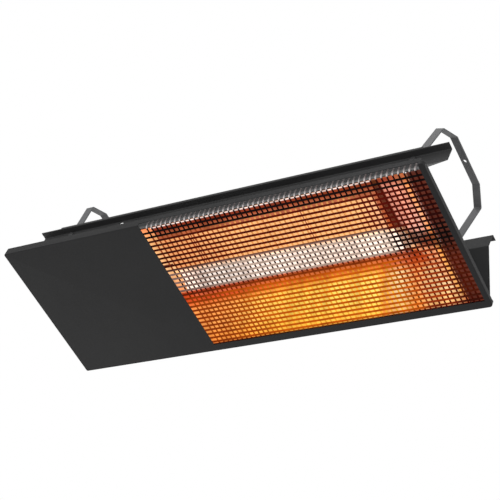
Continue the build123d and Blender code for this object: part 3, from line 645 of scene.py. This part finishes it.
def polished_sheet(name, way, bands, tints, span_way, spans, strength, ends=()):
    """Polished stainless reflector with the burner's glow painted on as a painted reflection.

    bands gives the painted glow and tints the tint of the metal along one direction (a heat
    tint, and on the tray painted shade and a painted highlight), and spans the glow's share
    along another. Only a face that looks down has them, and the back is plain steel. ends are
    two (place along X, bands) pairs that take over before the first place and after the last.
    Upright streaks and finer rolling lines make the painted glow uneven, as waves in thin sheet
    do.
    """
    nodes = Nodes(name)
    plain_steel = (0.56, 0.56, 0.57)
    rolled = nodes.noise(420.0, detail=2.0, stretch=(0.03, 1.0, 1.0))
    wave = nodes.noise(14.0, detail=1.0)
    patch = nodes.tones(wave, (0.85, 0.85, 0.85), WHITE)
    # Painted reflection of the burner's glow, only on faces that look down.
    below = looking_down(nodes)
    steel = nodes.mix(below, plain_steel, glow_map(nodes, way, tints))
    heat_and_painted_glow = nodes.mix(1.0, glow_map(nodes, way, bands), glow_map(nodes, span_way, spans),
                     "MULTIPLY")
    for edge, (place, end_bands) in zip((-0.001, 0.001), ends):
        share = nodes.remap(nodes.axis("X"), place - edge, place + edge)
        heat_and_painted_glow = nodes.mix(share, heat_and_painted_glow, glow_map(nodes, way, end_bands))
    streak = nodes.noise(34.0, roughness=0.6, stretch=(1.0, 0.12, 0.12))
    broad = nodes.remap(streak, 0.34, 0.66, 0.72 * strength, 1.25 * strength)
    soft = nodes.bump(wave, 0.2, 0.004)
    return nodes.surface(metallic=1.0, colour=nodes.mix(1.0, steel, patch, "MULTIPLY"),
                         rough=nodes.spread(rolled, 0.2, 0.34),
                         normal=nodes.bump(rolled, 0.1, 0.0003, soft),
                         glow=heat_and_painted_glow, power=nodes.maths("MULTIPLY", broad, below))


def glowing_ceramic(glow, strength, pitch, spans, start, length, half_width):
    """Cordierite tile: rows of pinholes that glow deeper than the face, uneven over the row.

    The hole mask is the distance from the middle of each square of the pitch, so a hole is a
    disc of 0.3 of the pitch. The rim of each tile has no holes and stays darker: it is where
    the distance from the nearest joint, which repeats each tile length from the start, or from
    the long edge is under about 1.5 mm.
    """
    nodes = Nodes("glowing_tile")
    deep = tuple(channel * part for channel, part in zip(glow, (0.85, 0.6, 0.4)))
    rim_colour = (0.16, 0.02, 0.005)
    joint_rim, edge_rim, soft = 0.0012, 0.0014, 0.0004

    def from_middle(number, step):
        """How far a number is from the middle of its step, in steps and with its sign."""
        share = nodes.maths("FRACT", nodes.maths("DIVIDE", number, step))
        return nodes.maths("SUBTRACT", share, 0.5)

    def squared(letter):
        offset = from_middle(nodes.axis(letter), pitch)
        return nodes.maths("MULTIPLY", offset, offset)

    reach = nodes.maths("SQRT", nodes.maths("ADD", squared("X"), squared("Y")))
    hole = nodes.remap(reach, 0.26, 0.36)
    from_start = nodes.maths("SUBTRACT", nodes.axis("X"), start)
    to_joint = nodes.maths("ABSOLUTE", from_middle(from_start, length))
    joint = nodes.remap(to_joint, 0.5 - (joint_rim + soft) / length, 0.5 - joint_rim / length)
    to_edge = nodes.maths("ABSOLUTE", nodes.axis("Y"))
    edge = nodes.remap(to_edge, half_width - edge_rim - soft, half_width - edge_rim)
    border = nodes.maths("MAXIMUM", joint, edge)
    colour = nodes.mix(border, nodes.mix(hole, deep, glow), rim_colour)
    heat_and_painted_glow = nodes.mix(1.0, colour, glow_map(nodes, X_WAY, spans), "MULTIPLY")
    mottle = nodes.noise(26.0, detail=4.0)
    uneven = nodes.spread(mottle, 0.86, 1.1)
    return nodes.surface(rough=0.9, specular=0.1,
                         colour=nodes.tones(mottle, (0.4, 0.22, 0.12), (0.5, 0.3, 0.18)),
                         normal=nodes.bump(hole, 0.5, 0.0008),
                         glow=heat_and_painted_glow, power=nodes.maths("MULTIPLY", uneven, strength))


def plated_steel(name, colour, roughness, spangle=0.0, streaks=EVEN):
    """Bare or plated metal: fine machining lines, soft stains and, if wanted, zinc spangle."""
    nodes = Nodes(name)
    line = nodes.noise(700.0, detail=2.0, stretch=streaks)
    base = nodes.tones(nodes.noise(40.0, detail=4.0), *shades(colour, 0.86, 1.06))
    if spangle:
        cells = nodes.add("ShaderNodeTexVoronoi",
                          {"Vector": nodes.stretched(EVEN), "Scale": 110.0}, "Color")
        grey = nodes.add("ShaderNodeSeparateColor", {"Color": cells}, "Red")
        dark, light = shades(colour, 1.0 - spangle, 1.0 + spangle)
        base = nodes.mix(0.6, base, nodes.ramp(grey, [(0.2, dark), (0.8, light)]))
    return nodes.surface(metallic=1.0, colour=base,
                         rough=nodes.spread(line, roughness - 0.08, roughness + 0.1),
                         normal=nodes.bump(line, 0.15, 0.0002))


def moulded_plastic(name, colour):
    """Moulded plastic: fine spark-eroded grain and slight uneven shading."""
    nodes = Nodes(name)
    cloud = nodes.noise(60.0, detail=2.0)
    grain = nodes.noise(1800.0, detail=2.0)
    return nodes.surface(specular=0.4, colour=nodes.tones(cloud, *shades(colour, 0.9, 1.1)),
                         rough=nodes.spread(grain, 0.39, 0.53),
                         normal=nodes.bump(grain, 0.25, 0.0002))


def porcelain():
    """Glazed ceramic insulator, with faint specks under the glaze."""
    nodes = Nodes("porcelain")
    speck = nodes.noise(900.0, detail=2.0)
    base = nodes.ramp(speck, [(0.62, (0.82, 0.8, 0.75)), (0.74, (0.5, 0.44, 0.36))])
    return nodes.surface(specular=0.5, coat=0.6, coat_rough=0.08, colour=base,
                         rough=nodes.spread(speck, 0.22, 0.34))


def fibre_felt():
    """Ceramic fibre gasket: short matted strands."""
    nodes = Nodes("gasket_fibre")
    strand = nodes.noise(600.0, detail=4.0, stretch=(0.15, 1.0, 1.0))
    base = nodes.tones(strand, (0.62, 0.58, 0.5), (0.86, 0.83, 0.77))
    return nodes.surface(specular=0.1, colour=base, rough=nodes.spread(strand, 0.85, 0.98),
                         normal=nodes.bump(strand, 0.5, 0.0006))


def laminated_iron():
    """Stacked iron sheets of the transformer: thin lines, varnished dark."""
    nodes = Nodes("laminated_iron")
    lines = nodes.add("ShaderNodeTexWave",
                      {"Vector": nodes.stretched(EVEN), "Scale": 320.0, "Distortion": 0.3},
                      "Fac", bands_direction="Y")
    base = nodes.ramp(lines, [(0.2, (0.07, 0.06, 0.055)), (0.8, (0.22, 0.2, 0.18))])
    return nodes.surface(metallic=0.8, colour=base,
                         rough=nodes.remap(lines, 0.0, 1.0, 0.35, 0.55),
                         normal=nodes.bump(lines, 0.3, 0.0003))


# Changed copies of CAD nodes
def block(low, high):
    """A box between two corners: each of the eight points takes low or high on each axis."""
    pick = np.stack(np.meshgrid([0, 1], [0, 1], [0, 1], indexing="ij"), -1).reshape(-1, 3)
    points = np.where(pick, high, low)
    faces = [(0, 1, 3, 2), (4, 6, 7, 5), (0, 4, 5, 1), (2, 3, 7, 6), (0, 2, 6, 4), (1, 5, 7, 3)]
    mesh = bpy.data.meshes.new("block")
    mesh.from_pydata(points.tolist(), [], faces)
    return mesh


def mend(mesh, join):
    """Join a mesh's doubled points, or else dissolve its edges and faces of no size."""
    work = bmesh.new()
    work.from_mesh(mesh)
    if join:
        bmesh.ops.remove_doubles(work, verts=work.verts, dist=JOIN_DISTANCE)
    else:
        bmesh.ops.dissolve_degenerate(work, edges=work.edges, dist=JOIN_DISTANCE)
    work.to_mesh(mesh)
    work.free()


def cut_copy(node, name, material, low, high):
    """A node's sheet with a box cut out of it; the copy's loose triangles are joined first."""
    mesh = frame["nodes"][node].data.copy()
    mesh.name = name
    mend(mesh, join=True)
    obj = placed(name, mesh)
    cutter = placed("cutter", block(low, high))
    cut = obj.modifiers.new("notch", "BOOLEAN")
    cut.operation = "DIFFERENCE"
    cut.solver = "EXACT"
    cut.object = cutter
    bpy.context.view_layer.update()
    done = bpy.data.meshes.new_from_object(
        obj.evaluated_get(bpy.context.evaluated_depsgraph_get()))
    mend(done, join=False)
    obj.modifiers.clear()
    obj.data = done
    bpy.data.objects.remove(cutter)
    dress(obj, material, [node], BODY, fold=30.0)


def coat_nodes(material, *names):
    """Give the material to every slot of the named nodes."""
    for name in names:
        obj = frame["nodes"][name]
        if not obj.material_slots:
            obj.data.materials.append(material)
        for slot in obj.material_slots:
            slot.material = material


# Wires of the grille
def straight_wires(count, radius, sides):
    """Long wires side by side: one closed tube along X, copied at even steps along Y."""
    height = (LONG_LOW[2] + LONG_HIGH[2]) / 2
    line = np.array([[LONG_LOW[0], 0.0, height], [LONG_HIGH[0], 0.0, height]])
    places = np.zeros((count, 3))
    places[:, 1] = np.linspace(LONG_LOW[1] + radius, LONG_HIGH[1] - radius, count)
    return copies(*closed_tube(line, Z_WAY, radius, sides, end_round=0.3), places)


def bent_wires(count, radius, bend, sides):
    """Cross wires with both ends turned up: a level run, two quarter circles, two risers.

    A quarter circle's point at angle a is reach - bend + bend * sin(a) out from the middle and
    low + bend - bend * cos(a) high. The wire is copied at even steps along X.
    """
    low = SHORT_LOW[2] + radius
    reach = SHORT_HIGH[1] - radius
    turn = np.linspace(0.0, np.pi / 2, num=6)
    corner = np.stack([np.zeros_like(turn), reach - bend + bend * np.sin(turn),
                       low + bend - bend * np.cos(turn)], -1)
    right = np.concatenate([corner, [[0.0, reach, SHORT_HIGH[2]]]])
    left = right[::-1] * np.array([1.0, -1.0, 1.0])
    wire = closed_tube(np.concatenate([left, right]), X_WAY, radius, sides, end_round=0.4)
    places = np.zeros((count, 3))
    places[:, 0] = np.linspace(SHORT_LOW[0] + radius, SHORT_HIGH[0] - radius, count)
    return copies(*wire, places)


# Painted glow on the wires: the light of what is seen behind them is painted onto them. Bands
# go across the window, by Y in metres, and spans along it, by X. From the front they pass the
# dark rim, the tiles, the tray and the rear reflector.
DARK_GLOW, DEEP_RED_GLOW = (0.006, 0.001, 0.001), (0.09, 0.003, 0.0)
DULL_RED, DIM_RED, ORANGE_RED_GLOW = (0.17, 0.009, 0.0), (0.34, 0.035, 0.002), (0.52, 0.085, 0.001)
GOLD, TILE_LIGHT = (0.95, 0.46, 0.04), (0.86, 0.37, 0.115)
PALE, FAINT_GLOW = (0.46, 0.34, 0.27), (0.02, 0.008, 0.01)
LONG_BANDS = [(-0.19, DARK_GLOW), (-0.158, DARK_GLOW), (-0.15, DEEP_RED_GLOW), (-0.06, DEEP_RED_GLOW), (-0.052, PALE),
              (0.004, PALE), (0.012, DEEP_RED_GLOW), (0.03, ORANGE_RED_GLOW), (0.17, ORANGE_RED_GLOW), (0.18, DEEP_RED_GLOW)]
CROSS_BANDS = [(-0.19, DARK_GLOW), (-0.158, DARK_GLOW), (-0.15, TILE_LIGHT), (-0.06, TILE_LIGHT),
               (-0.052, FAINT_GLOW), (0.004, FAINT_GLOW), (0.012, DEEP_RED_GLOW), (0.03, ORANGE_RED_GLOW), (0.05, GOLD),
               (0.17, GOLD), (0.18, DEEP_RED_GLOW)]
LONG_BANDS_PAST = [(-0.19, DARK_GLOW), (-0.16, DARK_GLOW), (-0.15, DEEP_RED_GLOW), (-0.06, DEEP_RED_GLOW), (-0.04, DARK_GLOW),
                   (0.0, DARK_GLOW), (0.03, DIM_RED), (0.15, DIM_RED), (0.18, DEEP_RED_GLOW)]
CROSS_BANDS_PAST = [(-0.19, DARK_GLOW), (-0.15, DEEP_RED_GLOW), (-0.06, DEEP_RED_GLOW), (-0.04, DARK_GLOW), (0.02, DARK_GLOW),
                    (0.06, DULL_RED), (0.15, DULL_RED), (0.18, DEEP_RED_GLOW)]
LONG_SPANS = [(FIRST - 0.03, (0.4, 0.3, 0.4)), (FIRST + 0.15, (0.5, 0.4, 0.4)),
              (FIRST + 0.3, WHITE), (LAST + 0.12, WHITE), (LAST + 0.15, (0.2, 0.2, 0.2))]
CROSS_SPANS = [(FIRST - 0.03, (0.3, 0.1, 0.05)), (FIRST + 0.24, (0.42, 0.2, 0.15)),
               (FIRST + 0.33, (0.9, 0.82, 0.75)), (LAST, WHITE),
               (LAST + 0.04, (0.2, 0.05, 0.05)), (LAST + 0.05, (0.2, 0.05, 0.05)),
               (LAST + 0.06, WHITE), (LAST + 0.15, (0.4, 0.4, 0.4))]
PAST_TILES = LAST + 0.055           # where the bands past the burner take over

# Painted reflected glow of the end plates and of the tray beside them; NIGHT is painted shade
NIGHT, GARNET, PINK_GLOW = (0.04, 0.01, 0.006), (0.24, 0.03, 0.015), (0.72, 0.28, 0.2)


# Operators
class HEATER_OT_sheet_metal(bpy.types.Operator):
    """Paint the cover, the hood walls and the compartment sheets"""
    bl_idname = "heater.sheet_metal"
    bl_label = "Sheet metal"

    def execute(self, context):
        finish = context.scene.heater_finish
        paint = powder_coat(finish.cover_paint)
        # Hood walls, end cap and gussets take the charcoal coat painted lighter, as painted
        # light on their shade.
        coat_nodes(powder_coat(finish.hood_paint_lightened, "hood_coat"), "hood_wall_rear",
                   "hood_wall_front", "end_cap", "end_gusset_rear", "end_gusset_front")
        beside, behind, clear = 0.0112, 0.008, 0.001
        height = context.scene.heater_sizes.notch_height
        low = (SHORT_LOW[0] - beside, COVER_LOW[1] - clear, COVER_LOW[2] - clear)
        high = (SHORT_HIGH[0] + beside, COVER_LOW[1] + behind, COVER_LOW[2] + height)
        cut_copy("lower_cover", "cover_sheet", paint, low, high)
        # The end apron's underside carries a painted dull red glow, standing in for the
        # burner's light on it.
        apron = powder_coat(finish.cover_paint, "apron_paint", glow=(0.11, 0.02, 0.009))
        coat_nodes(apron, "end_apron")
        zinc = plated_steel("galvanised_sheet", (0.6, 0.61, 0.63), 0.38, spangle=0.12)
        coat_nodes(zinc, "compartment_partition", "compartment_lid", "valve_bracket",
                   "burner_bracket_left", "burner_bracket_right")
        return {"FINISHED"}


class HEATER_OT_grille(bpy.types.Operator):
    """Weld the grille from round wires with turned-up ends"""
    bl_idname = "heater.grille"
    bl_label = "Grille"

    def execute(self, context):
        sizes = context.scene.heater_sizes
        finish = context.scene.heater_finish
        power = finish.glow_strength
        paint, bare_and_highlight = tuple(finish.wire_paint), tuple(finish.wire_end)
        long_radius, cross_radius = sizes.long_wire_diameter / 2, sizes.cross_wire_diameter / 2
        bare_length = 2.6 * cross_radius
        end_at = SHORT_HIGH[1] - bare_length
        # The bare ends darken going up between these two heights.
        darkening_heights = (SHORT_LOW[2] + 0.002, SHORT_LOW[2] + 0.014)
        # Both wire paints carry a painted glow: the light seen behind the wires, painted onto
        # them.
        long_paint = wire_paint_painted_glow("grille_paint", paint, bare_and_highlight, LONG_BANDS, LONG_SPANS,
                                (PAST_TILES, LONG_BANDS_PAST), end_at, power)
        cross_paint = wire_paint_painted_glow("cross_wire_paint", paint, bare_and_highlight, CROSS_BANDS, CROSS_SPANS,
                                 (PAST_TILES, CROSS_BANDS_PAST), end_at, power, darkening_heights)
        piece("grille_wires_long", straight_wires(sizes.long_wires, long_radius,
                                                  sizes.wire_sides),
              long_paint, ["grille_long_wires"])
        piece("grille_wires_cross", bent_wires(sizes.short_wires, cross_radius,
                                               sizes.wire_bend, sizes.wire_sides),
              cross_paint, ["grille_short_wires"])
        return {"FINISHED"}


class HEATER_OT_burner(bpy.types.Operator):
    """Light the ceramic tiles and finish the burner round them"""
    bl_idname = "heater.burner"
    bl_label = "Burner"

    def execute(self, context):
        finish = context.scene.heater_finish
        power = finish.glow_strength
        dull_red_painted_glow = tuple(finish.dull_red_painted_glow)
        dusk = tuple(channel * part for channel, part in zip(dull_red_painted_glow, (0.6, 0.45, 0.3)))
        low, high = SIDE_LOW[2], SIDE_HIGH[2]
        rear = TILES_HIGH[1]
        self.tiles(context.scene.heater_sizes.hole_pitch, tuple(finish.tile_glow), power, rear)
        self.side_reflectors(low, high, tuple(finish.painted_reflector_glow), dusk, power)
        self.tray(rear, dull_red_painted_glow, dusk, power)
        self.end_reflectors(low, high, power)
        coat_nodes(fibre_felt(), "tile_gasket")
        shell = plated_steel("plenum_steel", (0.5, 0.5, 0.51), 0.36, streaks=(0.05, 1.0, 1.0))
        coat_nodes(shell, "burner_plenum", "gas_diffuser", "mixing_tube")
        return {"FINISHED"}

    def tiles(self, pitch, glow, power, half_width):
        """The six tiles, whose glow is a little redder at the control end."""
        spans = [(FIRST, (0.95, 0.8, 0.75)), (FIRST + 0.2, (1.0, 0.97, 0.93)),
                 (LAST - 0.06, WHITE), (LAST, (1.0, 0.95, 1.35))]
        tile = glowing_ceramic(glow, power, pitch, spans, FIRST, (LAST - FIRST) / TILE_COUNT,
                               half_width)
        coat_nodes(tile, *[f"ceramic_tile_{index}" for index in range(1, TILE_COUNT + 1)])

    def side_reflectors(self, low, high, bright, dusk, power):
        """The two long reflectors, with the burner's glow painted on as reflection: bright up
        to the bend, then dusky.
        """
        bend = low + 0.104
        bands = [(low, (0.2, 0.03, 0.01)), (low + 0.002, (0.98, 0.52, 0.05)),
                 (low + 0.02, (1.0, 0.6, 0.06)), (low + 0.04, bright), (bend - 0.024, bright),
                 (bend - 0.006, (0.7, 0.17, 0.02)), (bend, (0.52, 0.1, 0.015)), (high, dusk)]
        straw = [(low, (0.26, 0.11, 0.035)), (high, (0.22, 0.08, 0.03))]
        spans = [(FIRST - 0.03, (0.85, 0.36, 0.6)), (FIRST + 0.13, (0.95, 0.56, 1.0)),
                 (FIRST + 0.32, (1.0, 1.0, 1.1)), (LAST - 0.07, (1.0, 1.1, 1.6)),
                 (LAST - 0.05, (0.8, 0.55, 0.9)), (LAST - 0.01, (1.0, 1.2, 4.5)),
                 (LAST + 0.03, (0.75, 0.4, 0.8)), (LAST + 0.06, (1.0, 1.0, 3.5)),
                 (LAST + 0.13, (1.0, 1.0, 4.0)), (LAST + 0.15, (0.6, 0.2, 0.5))]
        sheet = polished_sheet("side_reflector", Z_WAY, bands, straw, X_WAY, spans, power)
        coat_nodes(sheet, "side_reflector_rear", "side_reflector_front")

    def tray(self, rear, dull_red_painted_glow, dusk, power):
        """The tray round the tiles, with the burner's glow painted on as reflection: painted
        dim reflection in front of the tiles and a painted white highlight behind them.
        """
        edge = rear + 0.064
        # Painted highlights (white, peach, glint) and painted dim reflection in front of the
        # tiles.
        white, peach, glint = (0.86, 0.74, 0.66), (0.9, 0.62, 0.42), (0.95, 0.84, 0.78)
        soot_and_dark_reflection, blush = (0.2, 0.025, 0.01), (0.42, 0.11, 0.045)
        bands = [(-edge, glint), (-rear - 0.036, glint), (-rear - 0.034, soot_and_dark_reflection),
                 (-rear - 0.02, soot_and_dark_reflection), (-rear - 0.012, blush), (-rear, blush), (rear, dusk),
                 (rear + 0.003, peach), (rear + 0.018, white), (rear + 0.056, white),
                 (edge, dusk)]
        # Painted shade on the metal in front of the tiles and a painted highlight behind them.
        dark_tint, light_tint = (0.12, 0.05, 0.035), (0.55, 0.47, 0.42)
        tints = [(-edge, dark_tint), (rear, dark_tint), (rear + 0.003, light_tint),
                 (edge, light_tint)]
        spans = [(FIRST - 0.03, (1.1, 1.1, 1.1)), (FIRST + 0.2, WHITE), (LAST - 0.002, WHITE),
                 (LAST + 0.001, (0.08, 0.03, 0.02))]
        # Painted reflected glow at the two ends of the tray; NIGHT at the right end is painted
        # shade.
        left_end = [(-edge, dusk), (-rear - 0.03, (0.95, 0.3, 0.11)),
                    (-rear, (0.85, 0.42, 0.16)), (rear, (0.9, 0.5, 0.22)),
                    (edge, (0.5, 0.15, 0.05))]
        right_end = [(-edge, GARNET), (-rear - 0.028, GARNET), (-rear - 0.018, PINK_GLOW),
                     (0.03, PINK_GLOW), (0.05, NIGHT), (0.095, NIGHT), (0.108, (0.8, 0.35, 0.1)),
                     (edge, dull_red_painted_glow)]
        sheet = polished_sheet("tile_tray", Y_WAY, bands, tints, X_WAY, spans, power,
                               [(FIRST + 0.012, left_end), (LAST + 0.016, right_end)])
        coat_nodes(sheet, "tile_retaining_frame")

    def end_reflectors(self, low, high, power):
        """The two end plates, with the burner's glow painted on as reflection: pink, with a
        painted shadow that slants across them.
        """
        bands = [(low, NIGHT), (low + 0.004, GARNET), (low + 0.02, (0.85, 0.3, 0.07)),
                 (low + 0.05, PINK_GLOW), (high, PINK_GLOW)]
        brown = [(low, (0.12, 0.05, 0.03)), (high, (0.12, 0.05, 0.03))]
        slant = (0.0, 1.0, -0.6)
        shadow, dim = (0.08, 0.05, 0.05), (0.3, 0.1, 0.08)
        # Shares of the painted glow along the slant; the shadow band is a painted shadow.
        shares = [(-0.05, dim), (0.0, dim), (0.02, WHITE), (0.14, WHITE), (0.15, shadow),
                  (0.18, shadow), (0.194, (1.1, 1.2, 0.8)), (0.4, (1.1, 1.4, 0.8))]
        sheet = polished_sheet("end_reflector", Z_WAY, bands, brown, slant, shares, power)
        coat_nodes(sheet, "end_reflector_right", "end_reflector_left")


class HEATER_OT_gas_train(bpy.types.Operator):
    """Finish the valve, pipe, jet and inlet"""
    bl_idname = "heater.gas_train"
    bl_label = "Gas train"

    def execute(self, context):
        brass = plated_steel("machined_brass", (0.72, 0.5, 0.2), 0.28)
        coat_nodes(brass, "gas_jet", "inlet_coupling", "inlet_nipple")
        casting = plated_steel("valve_casting", (0.58, 0.59, 0.61), 0.48)
        coat_nodes(casting, "gas_valve")
        drawn = plated_steel("drawn_pipe", (0.64, 0.64, 0.66), 0.3, streaks=(1.0, 1.0, 0.08))
        coat_nodes(drawn, "manifold_pipe")
        coat_nodes(moulded_plastic("knob_red", (0.42, 0.03, 0.025)), "valve_knob")
        return {"FINISHED"}


class HEATER_OT_electrics(bpy.types.Operator):
    """Finish the ignition parts and the cable gland"""
    bl_idname = "heater.electrics"
    bl_label = "Electrical parts"

    def execute(self, context):
        black = moulded_plastic("black_plastic", (0.02, 0.02, 0.022))
        coat_nodes(black, "ignition_module", "cable_gland")
        coat_nodes(laminated_iron(), "transformer")
        coat_nodes(moulded_plastic("beige_plastic", (0.6, 0.56, 0.46)), "terminal_block")
        coat_nodes(porcelain(), "igniter_insulator", "flame_sensor_insulator")
        rod = plated_steel("heat_rod", (0.36, 0.3, 0.26), 0.5)
        coat_nodes(rod, "igniter_rod", "flame_sensor_rod")
        return {"FINISHED"}


class HEATER_OT_hangers(bpy.types.Operator):
    """Finish the two strap hangers and their pivots"""
    bl_idname = "heater.hangers"
    bl_label = "Hangers"

    def execute(self, context):
        finish = context.scene.heater_finish
        coat_nodes(satin_paint("strap_paint", finish.strap_paint), "hanger_left",
                   "hanger_right")
        zinc = plated_steel("zinc_fastener", (0.56, 0.57, 0.6), 0.3)
        coat_nodes(zinc, "pivot_washers_left", "pivot_washers_right", "frame_screws")
        black = satin_paint("black_fastener", (0.03, 0.03, 0.031))
        dark = satin_paint("painted_rivet", finish.cover_paint)
        for side in ("left", "right"):
            fasteners(f"hex_bolts_{side}", f"pivot_bolts_{side}", black,
                      ALONG_Y, 24, hex_bolt)
            fasteners(f"hex_nuts_{side}", f"pivot_nuts_{side}", zinc,
                      ALONG_Y, 24, hex_nut)
        fasteners("domed_rivets", "hood_rivets", dark, ALONG_Y, 20,
                  domed_rivet)
        fasteners("button_screws", "end_screws", black, ALONG_X, 20,
                  button_screw)
        return {"FINISHED"}


class HEATER_OT_studio(bpy.types.Operator):
    """Set up the floor, the lights, the world and the camera"""
    bl_idname = "heater.studio"
    bl_label = "Studio"

    def execute(self, context):
        studio = context.scene.heater_studio
        self.floor(studio)
        self.world(context.scene)
        self.lamps()
        self.camera(context.scene, studio)
        context.scene.view_settings.view_transform = "Standard"
        return {"FINISHED"}

    def floor(self, studio):
        """A pale square floor, lifted by a glow of its own that only the seen rays meet."""
        half = studio.floor_size / 2
        corners = np.array([[-1, -1, 0], [1, -1, 0], [1, 1, 0], [-1, 1, 0]], float) * half
        corners[:, 2] = studio.floor_height
        mesh = bpy.data.meshes.new("floor")
        mesh.from_pydata(corners.tolist(), [], [(0, 1, 2, 3)])
        obj = placed("floor", mesh)
        material = bpy.data.materials.new("pale_floor")
        tree = Tree(material)
        diffuse = tree.add("ShaderNodeBsdfDiffuse", {"Color": (0.8, 0.8, 0.8)})
        own_glow = 0.45
        strength = tree.maths("MULTIPLY", tree.seen_rays(), own_glow)
        lift = tree.add("ShaderNodeEmission", {"Color": WHITE, "Strength": strength})
        both = tree.add("ShaderNodeAddShader", {0: diffuse, 1: lift})
        tree.add("ShaderNodeOutputMaterial", {"Surface": both})
        mesh.materials.append(material)

    def world(self, scene):
        """White to the seen rays and a softer white as light."""
        scene.world = bpy.data.worlds.new("studio")
        tree = Tree(scene.world)
        soft = tree.add("ShaderNodeBackground", {"Color": (0.85, 0.85, 0.85)})
        white = tree.add("ShaderNodeBackground", {"Color": WHITE})
        choose = tree.add("ShaderNodeMixShader", {0: tree.seen_rays(), 1: soft, 2: white})
        tree.add("ShaderNodeOutputWorld", {"Surface": choose})

    def lamps(self):
        """Four square lamps turned to the middle of the heater: place, power and size."""
        middle = Vector((0.46, 0.0, -0.15))
        for name, place, power, size in (
                ("lamp_front", (-0.4, -3.2, -0.6), 34.0, 1.6),
                ("lamp_end", (3.4, -0.4, -0.7), 14.0, 1.4),
                ("lamp_side", (-2.0, 1.4, -2.2), 6.0, 2.0),
                ("lamp_above", (0.4, -1.0, 2.6), 20.0, 2.4)):
            data = bpy.data.lights.new(name, "AREA")
            data.energy = power
            data.size = size
            obj = placed(name, data)
            obj.location = place
            obj.rotation_euler = (middle - Vector(place)).to_track_quat("-Z", "Y").to_euler()

    def camera(self, scene, studio):
        """The camera of the photograph's view, which sees as far as the floor's edge."""
        data = bpy.data.cameras.new("camera")
        data.lens = studio.camera_lens
        data.sensor_width = SENSOR_WIDTH
        data.clip_end = FAR
        obj = placed("camera", data)
        obj.location = studio.camera_place
        obj.rotation_euler = studio.camera_turn
        scene.camera = obj


OPERATORS = (HEATER_OT_sheet_metal, HEATER_OT_grille, HEATER_OT_burner, HEATER_OT_gas_train,
             HEATER_OT_electrics, HEATER_OT_hangers, HEATER_OT_studio)


class HEATER_PT_panel(bpy.types.Panel):
    """Sizes, finishes and steps of the heater"""
    bl_idname = "HEATER_PT_panel"
    bl_label = "Overhead heater"
    bl_space_type = "VIEW_3D"
    bl_region_type = "UI"
    bl_category = "Heater"

    def draw(self, context):
        layout = self.layout
        for group in ("heater_sizes", "heater_finish", "heater_studio"):
            settings = getattr(context.scene, group)
            box = layout.box()
            for name in settings.bl_rna.properties.keys():
                if name not in ("rna_type", "name"):
                    box.prop(settings, name)
        for operator in OPERATORS:
            layout.operator(operator.bl_idname)


CLASSES = (HeaterSizes, HeaterFinish, StudioSettings) + OPERATORS + (HEATER_PT_panel,)


def register():
    for item in CLASSES:
        bpy.utils.register_class(item)
    bpy.types.Scene.heater_sizes = bpy.props.PointerProperty(type=HeaterSizes)
    bpy.types.Scene.heater_finish = bpy.props.PointerProperty(type=HeaterFinish)
    bpy.types.Scene.heater_studio = bpy.props.PointerProperty(type=StudioSettings)


def unregister():
    del bpy.types.Scene.heater_studio
    del bpy.types.Scene.heater_finish
    del bpy.types.Scene.heater_sizes
    for item in reversed(CLASSES):
        bpy.utils.unregister_class(item)


def main():
    register()
    bpy.ops.heater.sheet_metal()
    bpy.ops.heater.grille()
    bpy.ops.heater.burner()
    bpy.ops.heater.gas_train()
    bpy.ops.heater.electrics()
    bpy.ops.heater.hangers()
    bpy.ops.heater.studio()


if __name__ == "__main__":
    main()
